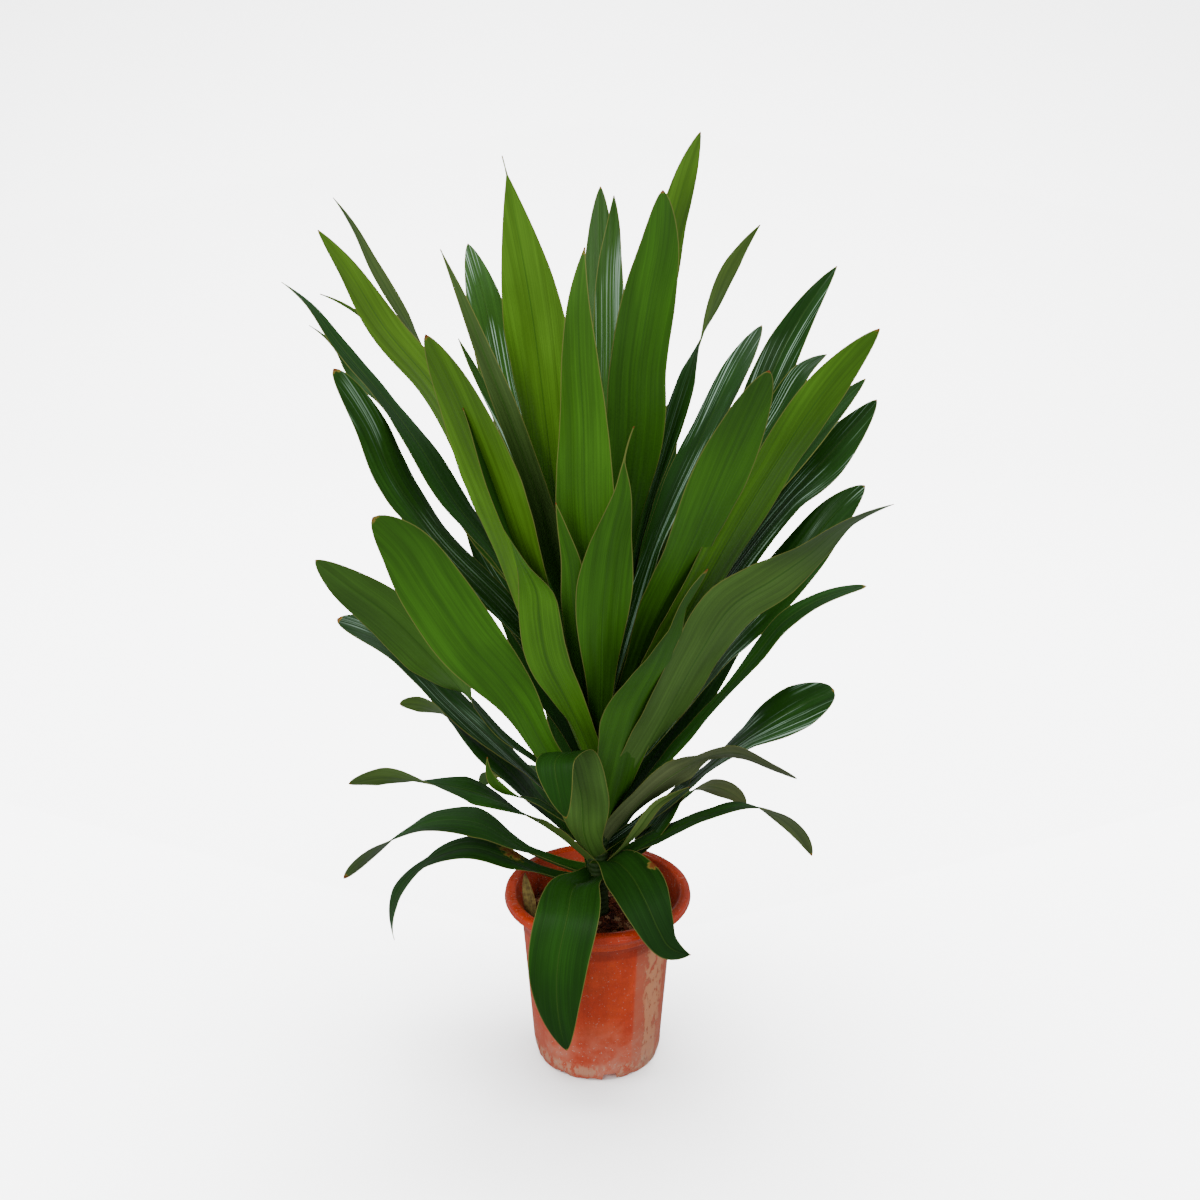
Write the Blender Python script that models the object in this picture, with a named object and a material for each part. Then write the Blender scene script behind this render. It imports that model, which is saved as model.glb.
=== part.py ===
"""A potted dracaena: one leafy stem in a filled plastic nursery pot, at its real size.

Metres, +Z up. The origin is the centre of the pot's underside, and the stem stands on the Z axis.
Azimuth 0 is +X, 90 is +Y, and the front of the plant, as it is usually seen, is azimuth 270.
"""

import math
import random

import bmesh
import bpy
import numpy as np

MM = 0.001
GAP = 0.0003

# The pot
POT_RIM_DIAMETER = 190 * MM
POT_HEIGHT = 187 * MM
BASE_RADIUS = 63.5 * MM
BODY_FOOT_RADIUS = 67.5 * MM
BODY_TOP_RADIUS = 77.5 * MM
WALL = 2.4 * MM
FLOOR = 3 * MM
FOOT_STEP_HEIGHT = 19 * MM
SHOULDER_HEIGHT = 156 * MM
POT_SIDES = 40
FACETS = 10
FACET_CORNER_AZIMUTH = math.radians(307)
FACET_FLATNESS = 0.45
PAD_RADIUS = 45 * MM
CHANNEL_DEPTH = 7.4 * MM
NOTCH_AZIMUTHS = [math.radians(a) for a in (281, 11, 101, 191)]
NOTCH_WIDTH = 16 * MM
NOTCH_HEIGHT = 8 * MM
DRAIN_AZIMUTHS = [math.radians(a) for a in (56, 146, 236, 326)]
DRAIN_RING_RADIUS = 51.5 * MM
DRAIN_RADIUS = 4.5 * MM

# The soil and the stem's hole in it
SOIL_TOP = 158 * MM
SOIL_EDGE = 156 * MM
SOIL_ROUGHNESS = 1.6 * MM
SOIL_TOP_RINGS = (48 * MM, 30 * MM)
HOLE_RADIUS = 12.6 * MM
HOLE_BOTTOM = 100 * MM

# The stem
STEM_RADIUS = 12 * MM
STEM_TOP = 404 * MM
CROWN_BOTTOM = 230 * MM
CROWN_RADIUS = 15 * MM
STEM_SIDES = 12

# The leaf blades
BLADE_THICKNESS = 0.8 * MM
BLADE_SEGMENTS = 10
ROOT_HALF_WIDTH = 5 * MM
ROOT_SPREAD = 0.3
KEEL_ANGLE = math.radians(12)
RESTING_KEEL_ANGLE = math.radians(8)
KEEL_LENGTH = 0.35
NECK_SHARE = 0.3
SWELL_SHARE = 0.42
TIP_CROWDING = 1.25
ARCH = 0.10
WAVE_HEIGHT = 2.2 * MM
WAVE_LENGTH = 170 * MM
TIP_HALF_WIDTH = 1.2 * MM

# The dry leaf that stands on the soil against the pot's wall
DRY_LEAF_SPINE = [
    (-65, -19, 157.9), (-67, -15, 168), (-69.5, -11, 180), (-72, -6, 192), (-73.5, -2, 204)]
DRY_LEAF_SIDE = (1.0, 0.12, 0.0)
DRY_LEAF_ROLLS = (0, 0, 4, 10, 18)
DRY_LEAF_SHAPE = (12 * MM, 0.4, 0.4)

# Every leaf: its name, the height at which it leaves the stem and its greatest width in mm, where
# along it that width lies (0 root, 1 tip), how drawn out its tip is (0 round, 1 long), and its
# centre line. A point of the line holds the azimuth in degrees, the reach from the stem's axis and
# the height above the floor in mm, and the roll of the blade about the line in degrees.
LEAVES = [
    ("front_hanging", 200, 61, 0.45, 0.4, [
        (255, 37, 214, 0), (253, 81, 230, 0), (256, 116, 223, 0), (254, 131, 188, 0),
        (253, 131, 135, 0), (256, 123, 77, 0)]),
    ("right_hanging", 204, 58, 0.45, 0.9, [
        (305, 30, 230, 0), (302, 59, 231, 0), (300, 95, 216, 4), (303, 107, 193, 4),
        (308, 112, 173, 4), (318, 122, 160, 0)]),
    ("left_hook", 188, 54, 0.5, 0.1, [
        (184, 60, 206, -10), (184, 88, 222, -2), (185, 130, 238, -10), (187, 173, 226, -20),
        (188, 204, 191, 0), (188, 207, 143, 0)]),
    ("left_arch", 196, 58, 0.5, 0.2, [
        (178, 68, 224, -16), (178, 123, 258, -2), (179, 168, 259, -8), (181, 203, 245, -20),
        (182, 228, 229, -38), (184, 255, 207, -60)]),
    ("left_twist", 206, 54, 0.5, 0.0, [
        (190, 62, 268, -28), (190, 127, 307, 2), (191, 175, 322, -22), (192, 213, 333, -58),
        (193, 243, 331, -60)]),
    ("left_small_pale", 215, 20, 0.5, 0.9, [
        (198, 58, 290, -10), (200, 96, 312, -40), (202, 110, 330, -70), (203, 114, 354, -70)]),
    ("left_pale_tip", 222, 52, 0.5, -0.1, [
        (165, 50, 260, -8), (165, 90, 305, -2), (165, 120, 330, -6), (165, 155, 357, -26),
        (167, 184, 371, -64), (168, 203, 371, -70)]),
    ("left_broad_twist", 248, 58, 0.66, 0.2, [
        (186, 52, 321, 0), (180, 91, 353, -8), (178, 124, 392, -10), (178, 138, 410, -45),
        (180, 161, 441, -75), (186, 200, 493, -80), (189, 235, 527, -80), (190, 260, 552, -75)]),
    ("left_dark_tip", 240, 52, 0.6, -0.1, [
        (160, 85, 311, -8), (160, 156, 367, -6), (160, 228, 428, 12), (160, 283, 442, 28)]),
    ("left_broad", 262, 62, 0.68, 0.0, [
        (221, 64, 357, -46), (218, 95, 420, -60), (214, 143, 489, -62), (213, 173, 540, -62),
        (212, 199, 586, -62), (211, 223, 613, -60)]),
    ("left_streaked", 300, 56, 0.62, -0.1, [
        (163, 68, 449, 2), (168, 164, 556, 2), (168, 197, 603, 8), (167, 223, 660, 16),
        (167, 254, 707, 24)]),
    ("left_streaked_inner", 308, 50, 0.5, 0.7, [
        (139, 92, 449, -2), (141, 144, 508, -2), (141, 176, 559, 0)]),
    ("left_thin", 318, 20, 0.6, 0.7, [
        (138, 83, 465, 0), (148, 149, 547, 0), (151, 197, 617, 0), (153, 233, 665, -6),
        (153, 274, 690, -10), (153, 287, 711, -10), (154, 315, 734, -10)]),
    ("left_long", 330, 50, 0.5, 0.85, [
        (159, 73, 493, -8), (161, 153, 591, -4), (160, 179, 628, -4), (157, 222, 671, -4),
        (158, 266, 720, -2), (158, 303, 762, -2), (158, 328, 778, 0)]),
    ("left_thin_high", 335, 16, 0.5, 0.4, [
        (216, 74, 519, -10), (215, 149, 680, -14), (212, 195, 752, -18), (209, 220, 782, -22),
        (207, 235, 793, -26), (204, 248, 799, -26)]),
    ("left_light", 338, 50, 0.62, 0.4, [
        (222, 80, 531, -2), (222, 146, 669, -8), (221, 180, 728, -12), (218, 214, 774, -18),
        (217, 250, 833, -24), (216, 266, 856, -24)]),
    ("left_high", 345, 27, 0.5, 0.3, [
        (152, 65, 523, 0), (151, 161, 673, -14), (152, 208, 748, -64), (152, 240, 793, -72),
        (152, 267, 836, -68), (152, 285, 856, -55)]),
    ("front_left_long", 300, 60, 0.64, 0.2, [
        (236, 85, 484, 6), (237, 134, 592, 0), (236, 169, 672, -6), (235, 205, 744, -10),
        (234, 225, 780, -10)]),
    ("front_left", 278, 46, 0.5, 1.0, [
        (256, 41, 365, 10), (248, 75, 424, 10), (243, 99, 471, 10), (243, 112, 514, 10),
        (244, 120, 543, 15), (241, 138, 580, 50), (239, 154, 616, 75), (237, 172, 667, 80),
        (236, 192, 717, 60)]),
    ("left_narrow", 360, 26, 0.45, 0.8, [
        (239, 58, 515, 0), (241, 104, 622, -10), (235, 129, 699, -25), (229, 146, 759, -45),
        (225, 158, 802, -50), (221, 167, 836, -30)]),
    ("back_left_pale", 350, 60, 0.55, 0.3, [
        (122, 79, 512, -30), (122, 182, 673, -22), (120, 235, 757, 10), (119, 276, 801, 10)]),
    ("front_left_tall", 340, 60, 0.75, 1.2, [
        (248, 54, 505, 20), (242, 82, 634, 12), (242, 93, 690, 10), (239, 107, 793, 0),
        (236, 121, 870, -10), (235, 126, 896, -10)]),
    ("front_tall", 335, 54, 0.5, 0.75, [
        (267, 85, 528, 15), (265, 119, 629, 15), (265, 130, 701, 15), (264, 138, 764, 15),
        (264, 140, 800, 15), (266, 138, 841, 15)]),
    ("back_tall", 360, 46, 0.6, 0.3, [
        (87, 60, 578, 10), (88, 118, 733, 10), (89, 155, 833, 10), (89, 165, 864, 10)]),
    ("back_tall_right", 365, 38, 0.62, 0.5, [
        (76, 33, 587, 10), (82, 81, 720, 10), (83, 101, 802, 10), (82, 109, 838, 10),
        (82, 111, 860, 10)]),
    ("front_right_tall", 340, 56, 0.66, 0.15, [
        (294, 55, 572, -15), (294, 82, 683, 0), (293, 89, 733, 0), (296, 98, 792, 8),
        (299, 106, 841, 8), (299, 109, 881, 8)]),
    ("tallest", 360, 52, 0.6, 0.4, [
        (312, 43, 607, -20), (322, 81, 853, 2), (325, 93, 898, 20), (328, 100, 924, 20)]),
    ("right_waisted", 350, 46, 0.6, 0.7, [
        (335, 53, 597, -32), (338, 86, 715, -38), (341, 100, 761, -15), (343, 121, 815, 32),
        (345, 143, 848, 35)]),
    ("back_right_glossy", 330, 56, 0.55, 0.2, [
        (50, 80, 522, 30), (50, 171, 636, 20), (50, 225, 694, 2), (50, 261, 724, 0)]),
    ("right_streaked", 322, 54, 0.5, 0.5, [
        (39, 117, 520, 16), (39, 194, 634, 2), (38, 240, 719, -32), (38, 304, 785, -34)]),
    ("right_streaked_inner", 312, 50, 0.55, 0.4, [
        (28, 105, 526, 16), (28, 196, 656, -4), (28, 230, 699, -28), (28, 253, 709, -28)]),
    ("right_light", 308, 58, 0.48, 0.3, [
        (325, 92, 489, 14), (326, 180, 653, 22), (326, 228, 729, 56), (325, 272, 780, 64)]),
    ("right_small", 300, 50, 0.55, 0.4, [
        (20, 116, 519, 4), (20, 228, 649, -22), (20, 275, 690, -36)]),
    ("right_streaked_low", 290, 60, 0.55, 0.2, [
        (22, 116, 476, 10), (22, 202, 577, -6), (22, 241, 612, -40), (22, 295, 666, -40)]),
    ("front_right_long", 286, 56, 0.6, 0.1, [
        (309, 72, 481, 0), (307, 134, 586, 8), (305, 186, 674, 24), (302, 247, 757, 32)]),
    ("right_broad_streaked", 265, 60, 0.55, 0.1, [
        (16, 131, 435, 2), (16, 211, 526, -34), (16, 244, 566, -45), (16, 271, 589, -45)]),
    ("right_olive", 252, 66, 0.4, 0.5, [
        (323, 83, 406, 10), (323, 117, 472, 24), (324, 148, 523, 38), (325, 186, 554, 44),
        (326, 217, 581, 30), (325, 252, 615, 14), (325, 294, 640, 14)]),
    ("right_low_bar", 238, 32, 0.5, -0.3, [
        (350, 101, 381, -8), (349, 131, 422, -14), (349, 152, 452, -18), (350, 177, 487, -18),
        (350, 204, 508, -18), (350, 250, 526, -18)]),
    ("right_paddle", 218, 58, 0.68, -0.3, [
        (10, 55, 262, 8), (10, 110, 309, 16), (10, 154, 342, 4), (10, 205, 372, -32),
        (10, 240, 387, -32)]),
    ("right_wavy", 222, 48, 0.4, -0.2, [
        (342, 26, 265, 34), (343, 52, 300, 36), (345, 83, 329, 42), (347, 105, 343, 18),
        (347, 136, 352, 36), (347, 173, 340, 36), (347, 196, 331, 34)]),
    ("right_small_pale", 212, 34, 0.7, 0.2, [
        (25, 70, 253, 10), (24, 98, 271, 30), (22, 123, 278, 60), (20, 139, 273, 66),
        (18, 154, 263, 66), (17, 160, 257, 60)]),
    ("right_short_dark", 208, 15, 0.5, 0.2, [
        (330, 25, 235, 20), (338, 43, 261, 24), (344, 64, 292, 24), (347, 79, 302, 24),
        (349, 92, 309, 20)]),
    ("right_low_dark", 196, 42, 0.6, 0.2, [
        (8, 28, 214, 0), (12, 49, 236, 0), (13, 69, 262, 0), (14, 88, 288, 0),
        (14, 98, 303, 0)]),
    ("right_arch", 200, 46, 0.45, 0.3, [
        (352, 63, 249, -4), (352, 105, 275, 12), (355, 151, 286, 20), (357, 191, 263, 34),
        (358, 215, 227, 40)]),
    ("front_centre", 285, 50, 0.68, 1.4, [
        (273, 60, 430, -10), (273, 108, 536, -10), (275, 128, 592, -10), (278, 151, 647, -10),
        (278, 161, 677, -10)]),
    ("centre_small", 310, 26, 0.6, 0.8, [
        (256, 64, 461, 0), (259, 106, 534, 0), (259, 120, 576, 0), (257, 129, 605, 0),
        (255, 134, 630, 0)]),
    ("front_right_broad", 232, 72, 0.44, 0.7, [
        (300, 30, 299, 0), (297, 61, 377, 5), (296, 83, 422, 0), (298, 113, 471, -15),
        (300, 141, 524, -32), (301, 158, 554, -20), (303, 171, 576, -10)]),
    ("front_folded", 216, 56, 0.5, 0.5, [
        (253, 42, 268, 0), (256, 67, 330, 0), (251, 89, 378, 0), (250, 112, 378, 0),
        (253, 120, 355, 0), (256, 118, 326, 0)]),
    ("back_sliver", 340, 22, 0.55, 0.6, [
        (128, 62, 521, 0), (133, 124, 631, 0), (136, 159, 684, 0), (137, 186, 723, 0)]),
    ("back_low_right", 206, 50, 0.5, 0.5, [
        (62, 66, 258, 0), (62, 120, 276, 0), (64, 165, 258, 10), (66, 195, 222, 20)]),
    ("back_low", 196, 58, 0.5, 0.6, [
        (98, 60, 240, 0), (98, 120, 268, 0), (98, 178, 246, 0), (98, 214, 190, 0)]),
    ("back_low_left", 212, 50, 0.5, 0.6, [
        (128, 60, 248, 0), (128, 115, 264, 0), (128, 168, 254, -10), (128, 212, 214, -20)]),
    ("back_mid_left", 244, 54, 0.5, 0.4, [
        (108, 73, 320, 0), (106, 137, 400, 0), (104, 196, 452, 0)]),
    ("back_left", 286, 56, 0.5, 0.5, [
        (128, 71, 384, 0), (128, 140, 452, 0), (128, 205, 500, 0)]),
    ("back_upper_left", 325, 58, 0.5, 0.4, [
        (106, 80, 466, 0), (106, 150, 572, 0), (106, 208, 650, 0)]),
    ("back_upper", 345, 54, 0.5, 0.4, [
        (90, 66, 470, 0), (90, 118, 590, 0), (90, 166, 690, 0)]),
    ("back_upper_right", 335, 58, 0.5, 0.4, [
        (69, 72, 460, 0), (68, 138, 570, 0), (66, 198, 655, 0)]),
    ("back_right", 300, 56, 0.5, 0.5, [
        (58, 76, 440, 0), (58, 160, 540, 0), (58, 245, 610, 0)]),
    ("back_mid_right", 266, 56, 0.5, 0.4, [
        (46, 76, 360, 0), (46, 150, 430, 0), (46, 212, 468, 0)]),
    ("back_side_right", 246, 54, 0.5, 0.5, [
        (30, 76, 330, 0), (30, 135, 396, 0), (30, 190, 450, 0)]),
    ("back_mid", 256, 56, 0.5, 0.4, [
        (84, 70, 330, 0), (86, 130, 380, 0), (88, 185, 396, 0), (90, 224, 372, 0)]),
]


def clear_scene():
    """Remove whatever the file held before."""
    for thing in list(bpy.data.objects):
        bpy.data.objects.remove(thing, do_unlink=True)


def material(name, colour, roughness):
    """A plain Principled material."""
    made = bpy.data.materials.new(name)
    made.use_nodes = True
    shader = made.node_tree.nodes["Principled BSDF"]
    shader.inputs["Base Color"].default_value = (*colour, 1.0)
    shader.inputs["Roughness"].default_value = roughness
    shader.inputs["Metallic"].default_value = 0.0
    return made


def new_object(name, vertices, faces, surface):
    """One object from its points and faces, shaded smooth except at sharp corners."""
    mesh = bpy.data.meshes.new(name)
    mesh.from_pydata([tuple(v) for v in vertices], [], faces)
    mesh.materials.append(surface)
    mesh.shade_smooth()
    mesh.set_sharp_from_angle(angle=math.radians(40))
    made = bpy.data.objects.new(name, mesh)
    bpy.context.scene.collection.objects.link(made)
    return made


def apply_boolean(target, operation, tools):
    """Join the tools to the target or cut them from it, keep the result and remove the tools."""
    group = bpy.data.collections.new("tools")
    bpy.context.scene.collection.children.link(group)
    for tool in tools:
        bpy.context.scene.collection.objects.unlink(tool)
        group.objects.link(tool)
    modifier = target.modifiers.new("join", "BOOLEAN")
    modifier.operation = operation
    modifier.operand_type = "COLLECTION"
    modifier.collection = group
    modifier.solver = "EXACT"
    graph = bpy.context.evaluated_depsgraph_get()
    result = bpy.data.meshes.new_from_object(target.evaluated_get(graph))
    target.modifiers.clear()
    target.data = result
    for tool in tools:
        bpy.data.objects.remove(tool, do_unlink=True)
    bpy.data.collections.remove(group)


def facet_scale(azimuth, flatness):
    """How far a faceted wall pulls in from its corner radius at this azimuth."""
    step = 2 * math.pi / FACETS
    from_middle = (azimuth - FACET_CORNER_AZIMUTH) % step - step / 2
    flat = math.cos(step / 2) / math.cos(from_middle)
    return 1 - flatness * FACET_FLATNESS * (1 - flat)


def turned(name, profile, sides, surface, lift=None):
    """A closed turned solid. The profile runs from the bottom pole out, up and in to the top pole."""
    vertices = []
    rings = []
    for radius, height, flatness in profile:
        if radius == 0:
            rings.append([len(vertices)])
            vertices.append((0.0, 0.0, height))
            continue
        ring = []
        for k in range(sides):
            azimuth = FACET_CORNER_AZIMUTH + 2 * math.pi * k / sides
            reach = radius * facet_scale(azimuth, flatness)
            rise = lift(radius) if lift else 0.0
            ring.append(len(vertices))
            vertices.append((reach * math.cos(azimuth), reach * math.sin(azimuth), height + rise))
        rings.append(ring)
    faces = []
    for low, high in zip(rings, rings[1:]):
        for k in range(sides):
            after = (k + 1) % sides
            if len(low) == 1:
                faces.append((low[0], high[after], high[k]))
            elif len(high) == 1:
                faces.append((low[k], low[after], high[0]))
            else:
                faces.append((low[k], low[after], high[after], high[k]))
    return new_object(name, vertices, faces, surface)


def inner_radius(height):
    """The radius of the pot's inner wall between its floor and its neck."""
    rise = (height - FOOT_STEP_HEIGHT) / (SHOULDER_HEIGHT - FOOT_STEP_HEIGHT)
    return BODY_FOOT_RADIUS - WALL + rise * (BODY_TOP_RADIUS - BODY_FOOT_RADIUS)


def build_pot(surface):
    """The nursery pot: rolled collar, plain neck, faceted body, stepped foot ring and drainage."""
    rim = POT_RIM_DIAMETER / 2
    top = POT_HEIGHT
    foot_inside = BASE_RADIUS - WALL
    step = FOOT_STEP_HEIGHT
    profile = [
        (0, 0, 0),
        (PAD_RADIUS, 0, 0),
        (PAD_RADIUS + 1 * MM, CHANNEL_DEPTH, 0),
        (BASE_RADIUS - 6 * MM, CHANNEL_DEPTH, 0),
        (BASE_RADIUS - 5 * MM, 0, 0),
        (BASE_RADIUS, 0, 0),
        (BASE_RADIUS + 1 * MM, step - 4 * MM, 0),
        (BODY_FOOT_RADIUS, step, 1),
        (BODY_TOP_RADIUS, SHOULDER_HEIGHT - 2 * MM, 1),
        (BODY_TOP_RADIUS - 0.9 * MM, SHOULDER_HEIGHT, 0),
        (BODY_TOP_RADIUS + 0.6 * MM, top - 16 * MM, 0),
        (rim - 8 * MM, top - 11.5 * MM, 0),
        (rim - 1.5 * MM, top - 10 * MM, 0),
        (rim, top - 6.8 * MM, 0),
        (rim - 1.2 * MM, top - 4.4 * MM, 0),
        (rim - 0.9 * MM, top - 2 * MM, 0),
        (rim - 3 * MM, top - 0.3 * MM, 0),
        (rim - 7 * MM, top, 0),
        (rim - 11.5 * MM, top - 1 * MM, 0),
        (rim - 13.2 * MM, top - 4 * MM, 0),
        (rim - 17.5 * MM, top - 12 * MM, 0),
        (rim - 19.4 * MM, top - 17 * MM, 0),
        (inner_radius(SHOULDER_HEIGHT), SHOULDER_HEIGHT, 1),
        (inner_radius(step), step, 1),
        (foot_inside, step - 4 * MM, 0),
        (foot_inside, CHANNEL_DEPTH + FLOOR, 0),
        (PAD_RADIUS - 2 * MM, CHANNEL_DEPTH + FLOOR, 0),
        (PAD_RADIUS - FLOOR, FLOOR, 0),
        (0, FLOOR, 0),
    ]
    pot = turned("pot", profile, POT_SIDES, surface)
    cutters = [notch_cutter(azimuth, surface) for azimuth in NOTCH_AZIMUTHS]
    cutters += [drain_cutter(azimuth, surface) for azimuth in DRAIN_AZIMUTHS]
    apply_boolean(pot, "DIFFERENCE", cutters)
    return pot


def notch_cutter(azimuth, surface):
    """A block that cuts one drainage notch through the foot ring."""
    inner = 55 * MM
    outer = BASE_RADIUS + 4 * MM
    half = NOTCH_WIDTH / 2
    below = -2 * MM
    along = np.array([math.cos(azimuth), math.sin(azimuth)])
    across = np.array([-math.sin(azimuth), math.cos(azimuth)])
    corners = []
    for height in (below, NOTCH_HEIGHT):
        taper = 1.0 if height < 0 else 0.8
        for reach, side in ((inner, -half), (outer, -half), (outer, half), (inner, half)):
            flat = along * reach + across * side * taper
            corners.append((flat[0], flat[1], height))
    faces = [(3, 2, 1, 0), (4, 5, 6, 7), (0, 1, 5, 4), (1, 2, 6, 5), (2, 3, 7, 6), (3, 0, 4, 7)]
    return new_object("notch_cutter", corners, faces, surface)


def drain_cutter(azimuth, surface):
    """A peg that cuts one drain hole through the pot's floor."""
    centre = (DRAIN_RING_RADIUS * math.cos(azimuth), DRAIN_RING_RADIUS * math.sin(azimuth))
    sides = 12
    vertices = []
    for height in (-1 * MM, CHANNEL_DEPTH + 6 * MM):
        for k in range(sides):
            turn = 2 * math.pi * k / sides
            vertices.append((centre[0] + DRAIN_RADIUS * math.cos(turn),
                             centre[1] + DRAIN_RADIUS * math.sin(turn), height))
    faces = [tuple(reversed(range(sides))), tuple(range(sides, 2 * sides))]
    for k in range(sides):
        after = (k + 1) % sides
        faces.append((k, after, after + sides, k + sides))
    return new_object("drain_cutter", vertices, faces, surface)


def build_soil(surface):
    """The filling of bark and coir, with a plain hole for the stem and a slightly uneven top."""
    draw = random.Random(11)

    def lift(radius):
        """A small seeded rise on the open top, none at the wall or the hole."""
        return draw.uniform(-1, 1) * SOIL_ROUGHNESS if radius in SOIL_TOP_RINGS else 0.0

    step = FOOT_STEP_HEIGHT
    foot_inside = BASE_RADIUS - WALL - 3 * GAP
    profile = [
        (0, FLOOR + GAP, 0),
        (PAD_RADIUS - FLOOR - 0.4 * MM, FLOOR + GAP, 0),
        (PAD_RADIUS - 2.4 * MM, CHANNEL_DEPTH + FLOOR + GAP, 0),
        (foot_inside, CHANNEL_DEPTH + FLOOR + GAP, 0),
        (foot_inside, step - 4 * MM, 0),
        (inner_radius(step) - 3 * GAP, step, 1),
        (inner_radius(SOIL_EDGE) - GAP, SOIL_EDGE, 1),
        (66 * MM, SOIL_EDGE + 1 * MM, 0),
        (SOIL_TOP_RINGS[0], SOIL_TOP, 0),
        (SOIL_TOP_RINGS[1], SOIL_TOP, 0),
        (HOLE_RADIUS, SOIL_TOP, 0),
        (HOLE_RADIUS, HOLE_BOTTOM, 0),
        (0, HOLE_BOTTOM, 0),
    ]
    return turned("soil", profile, POT_SIDES, surface, lift)


def build_stem(surface):
    """The stem, from the bottom of its hole to just above the root of the highest leaf."""
    profile = [
        (0, HOLE_BOTTOM + GAP, 0),
        (STEM_RADIUS - 1 * MM, HOLE_BOTTOM + GAP, 0),
        (STEM_RADIUS, SOIL_TOP, 0),
        (STEM_RADIUS, CROWN_BOTTOM, 0),
        (CROWN_RADIUS, CROWN_BOTTOM + 60 * MM, 0),
        (CROWN_RADIUS, STEM_TOP - 29 * MM, 0),
        (CROWN_RADIUS / 2, STEM_TOP - 4 * MM, 0),
        (0, STEM_TOP, 0),
    ]
    return turned("plant", profile, STEM_SIDES, surface)


def smooth_path(points, stations):
    """A smooth curve through the points, read at these shares of its length."""
    points = np.asarray(points, float)
    chord = np.linalg.norm(np.diff(points, axis=0), axis=1)
    knots = np.concatenate([[0.0], np.cumsum(chord)])
    slope = np.gradient(points, knots, axis=0)
    slope[0] = 2 * (points[1] - points[0]) / chord[0] - slope[1]
    slope[-1] = 2 * (points[-1] - points[-2]) / chord[-1] - slope[-2]
    fine = np.linspace(0.0, knots[-1], 241)
    span = np.clip(np.searchsorted(knots, fine, side="right") - 1, 0, len(chord) - 1)
    length = chord[span][:, None]
    t = (fine - knots[span])[:, None] / length
    curve = (2 * t**3 - 3 * t**2 + 1) * points[span]
    curve += (t**3 - 2 * t**2 + t) * length * slope[span]
    curve += (3 * t**2 - 2 * t**3) * points[span + 1]
    curve += (t**3 - t**2) * length * slope[span + 1]
    run = np.concatenate([[0.0], np.cumsum(np.linalg.norm(np.diff(curve, axis=0), axis=1))])
    at = run[-1] * stations
    path = np.stack([np.interp(at, run, curve[:, axis]) for axis in range(3)], axis=1)
    share = np.interp(at, run, fine)
    return path, share, knots, run[-1]


def station_shares(segments):
    """Where a blade's stations lie along it, closer together toward the tip."""
    return 1 - (1 - np.linspace(0.0, 1.0, segments + 1)) ** TIP_CROWDING


def half_width(v, width, widest, point):
    """Half the blade's width at v along it, from 0 at the root to 1 at the tip."""
    rise = np.clip((v - widest) / SWELL_SHARE + 1, 0, 1)
    grow = NECK_SHARE + (1 - NECK_SHARE) * rise * rise * (3 - 2 * rise)
    past = np.clip((v - widest) / (1 - widest), 0, 1)
    fade = (1 - past ** (2.4 - 0.7 * point)) ** (0.6 + 0.35 * point)
    return grow * fade * width / 2


def blade(name, points, rolls, side, shape, surface):
    """A closed thin leaf blade along its centre line, keeled at the root and waved at its edges."""
    width, widest, point = shape
    stations = station_shares(BLADE_SEGMENTS)
    path, share, knots, length = smooth_path(points, stations)
    roll = np.radians(np.interp(share, knots, rolls))
    tangent = np.gradient(path, axis=0)
    tangent /= np.linalg.norm(tangent, axis=1)[:, None]
    phase = sum(ord(letter) for letter in name)
    vertices = []
    for i, v in enumerate(stations):
        half = float(half_width(v, width, widest, point))
        from_axis = math.hypot(path[i][0], path[i][1])
        half = max(min(half, ROOT_HALF_WIDTH + ROOT_SPREAD * from_axis), TIP_HALF_WIDTH)
        side = side - tangent[i] * (side @ tangent[i])
        side = side / np.linalg.norm(side)
        flat_up = np.cross(tangent[i], side)
        up = flat_up * math.cos(roll[i]) + side * math.sin(roll[i])
        across = side * math.cos(roll[i]) - flat_up * math.sin(roll[i])
        keel = math.tan(RESTING_KEEL_ANGLE + KEEL_ANGLE * max(0.0, 1 - v / KEEL_LENGTH))
        swell = math.sin(math.pi * v)
        wave = WAVE_HEIGHT * swell * math.sin(2 * math.pi * length * v / WAVE_LENGTH + phase)
        section = []
        for x in (-1, 0, 1):
            rise = (keel - ARCH) * abs(x) * half + wave * x
            section.append(path[i] + across * x * half + up * rise)
        for offset in (BLADE_THICKNESS / 2, -BLADE_THICKNESS / 2):
            vertices.extend(corner + up * offset for corner in section)
    return new_object(name, vertices, blade_faces(), surface)


def blade_faces():
    """Faces of a blade with six points a section, split alike on its upper and under side."""
    faces = [(0, 1, 4, 3), (1, 2, 5, 4)]
    for i in range(BLADE_SEGMENTS):
        a = 6 * i
        b = a + 6
        for j in (0, 1):
            faces.append((a + j, b + j, b + j + 1))
            faces.append((a + j, b + j + 1, a + j + 1))
            faces.append((a + j + 3, b + j + 4, b + j + 3))
            faces.append((a + j + 3, a + j + 4, b + j + 4))
        faces.append((a, a + 3, b + 3, b))
        faces.append((a + 2, b + 2, b + 5, a + 5))
    end = 6 * BLADE_SEGMENTS
    faces.append((end + 3, end + 4, end + 1, end))
    faces.append((end + 4, end + 5, end + 2, end + 1))
    return faces


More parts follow.
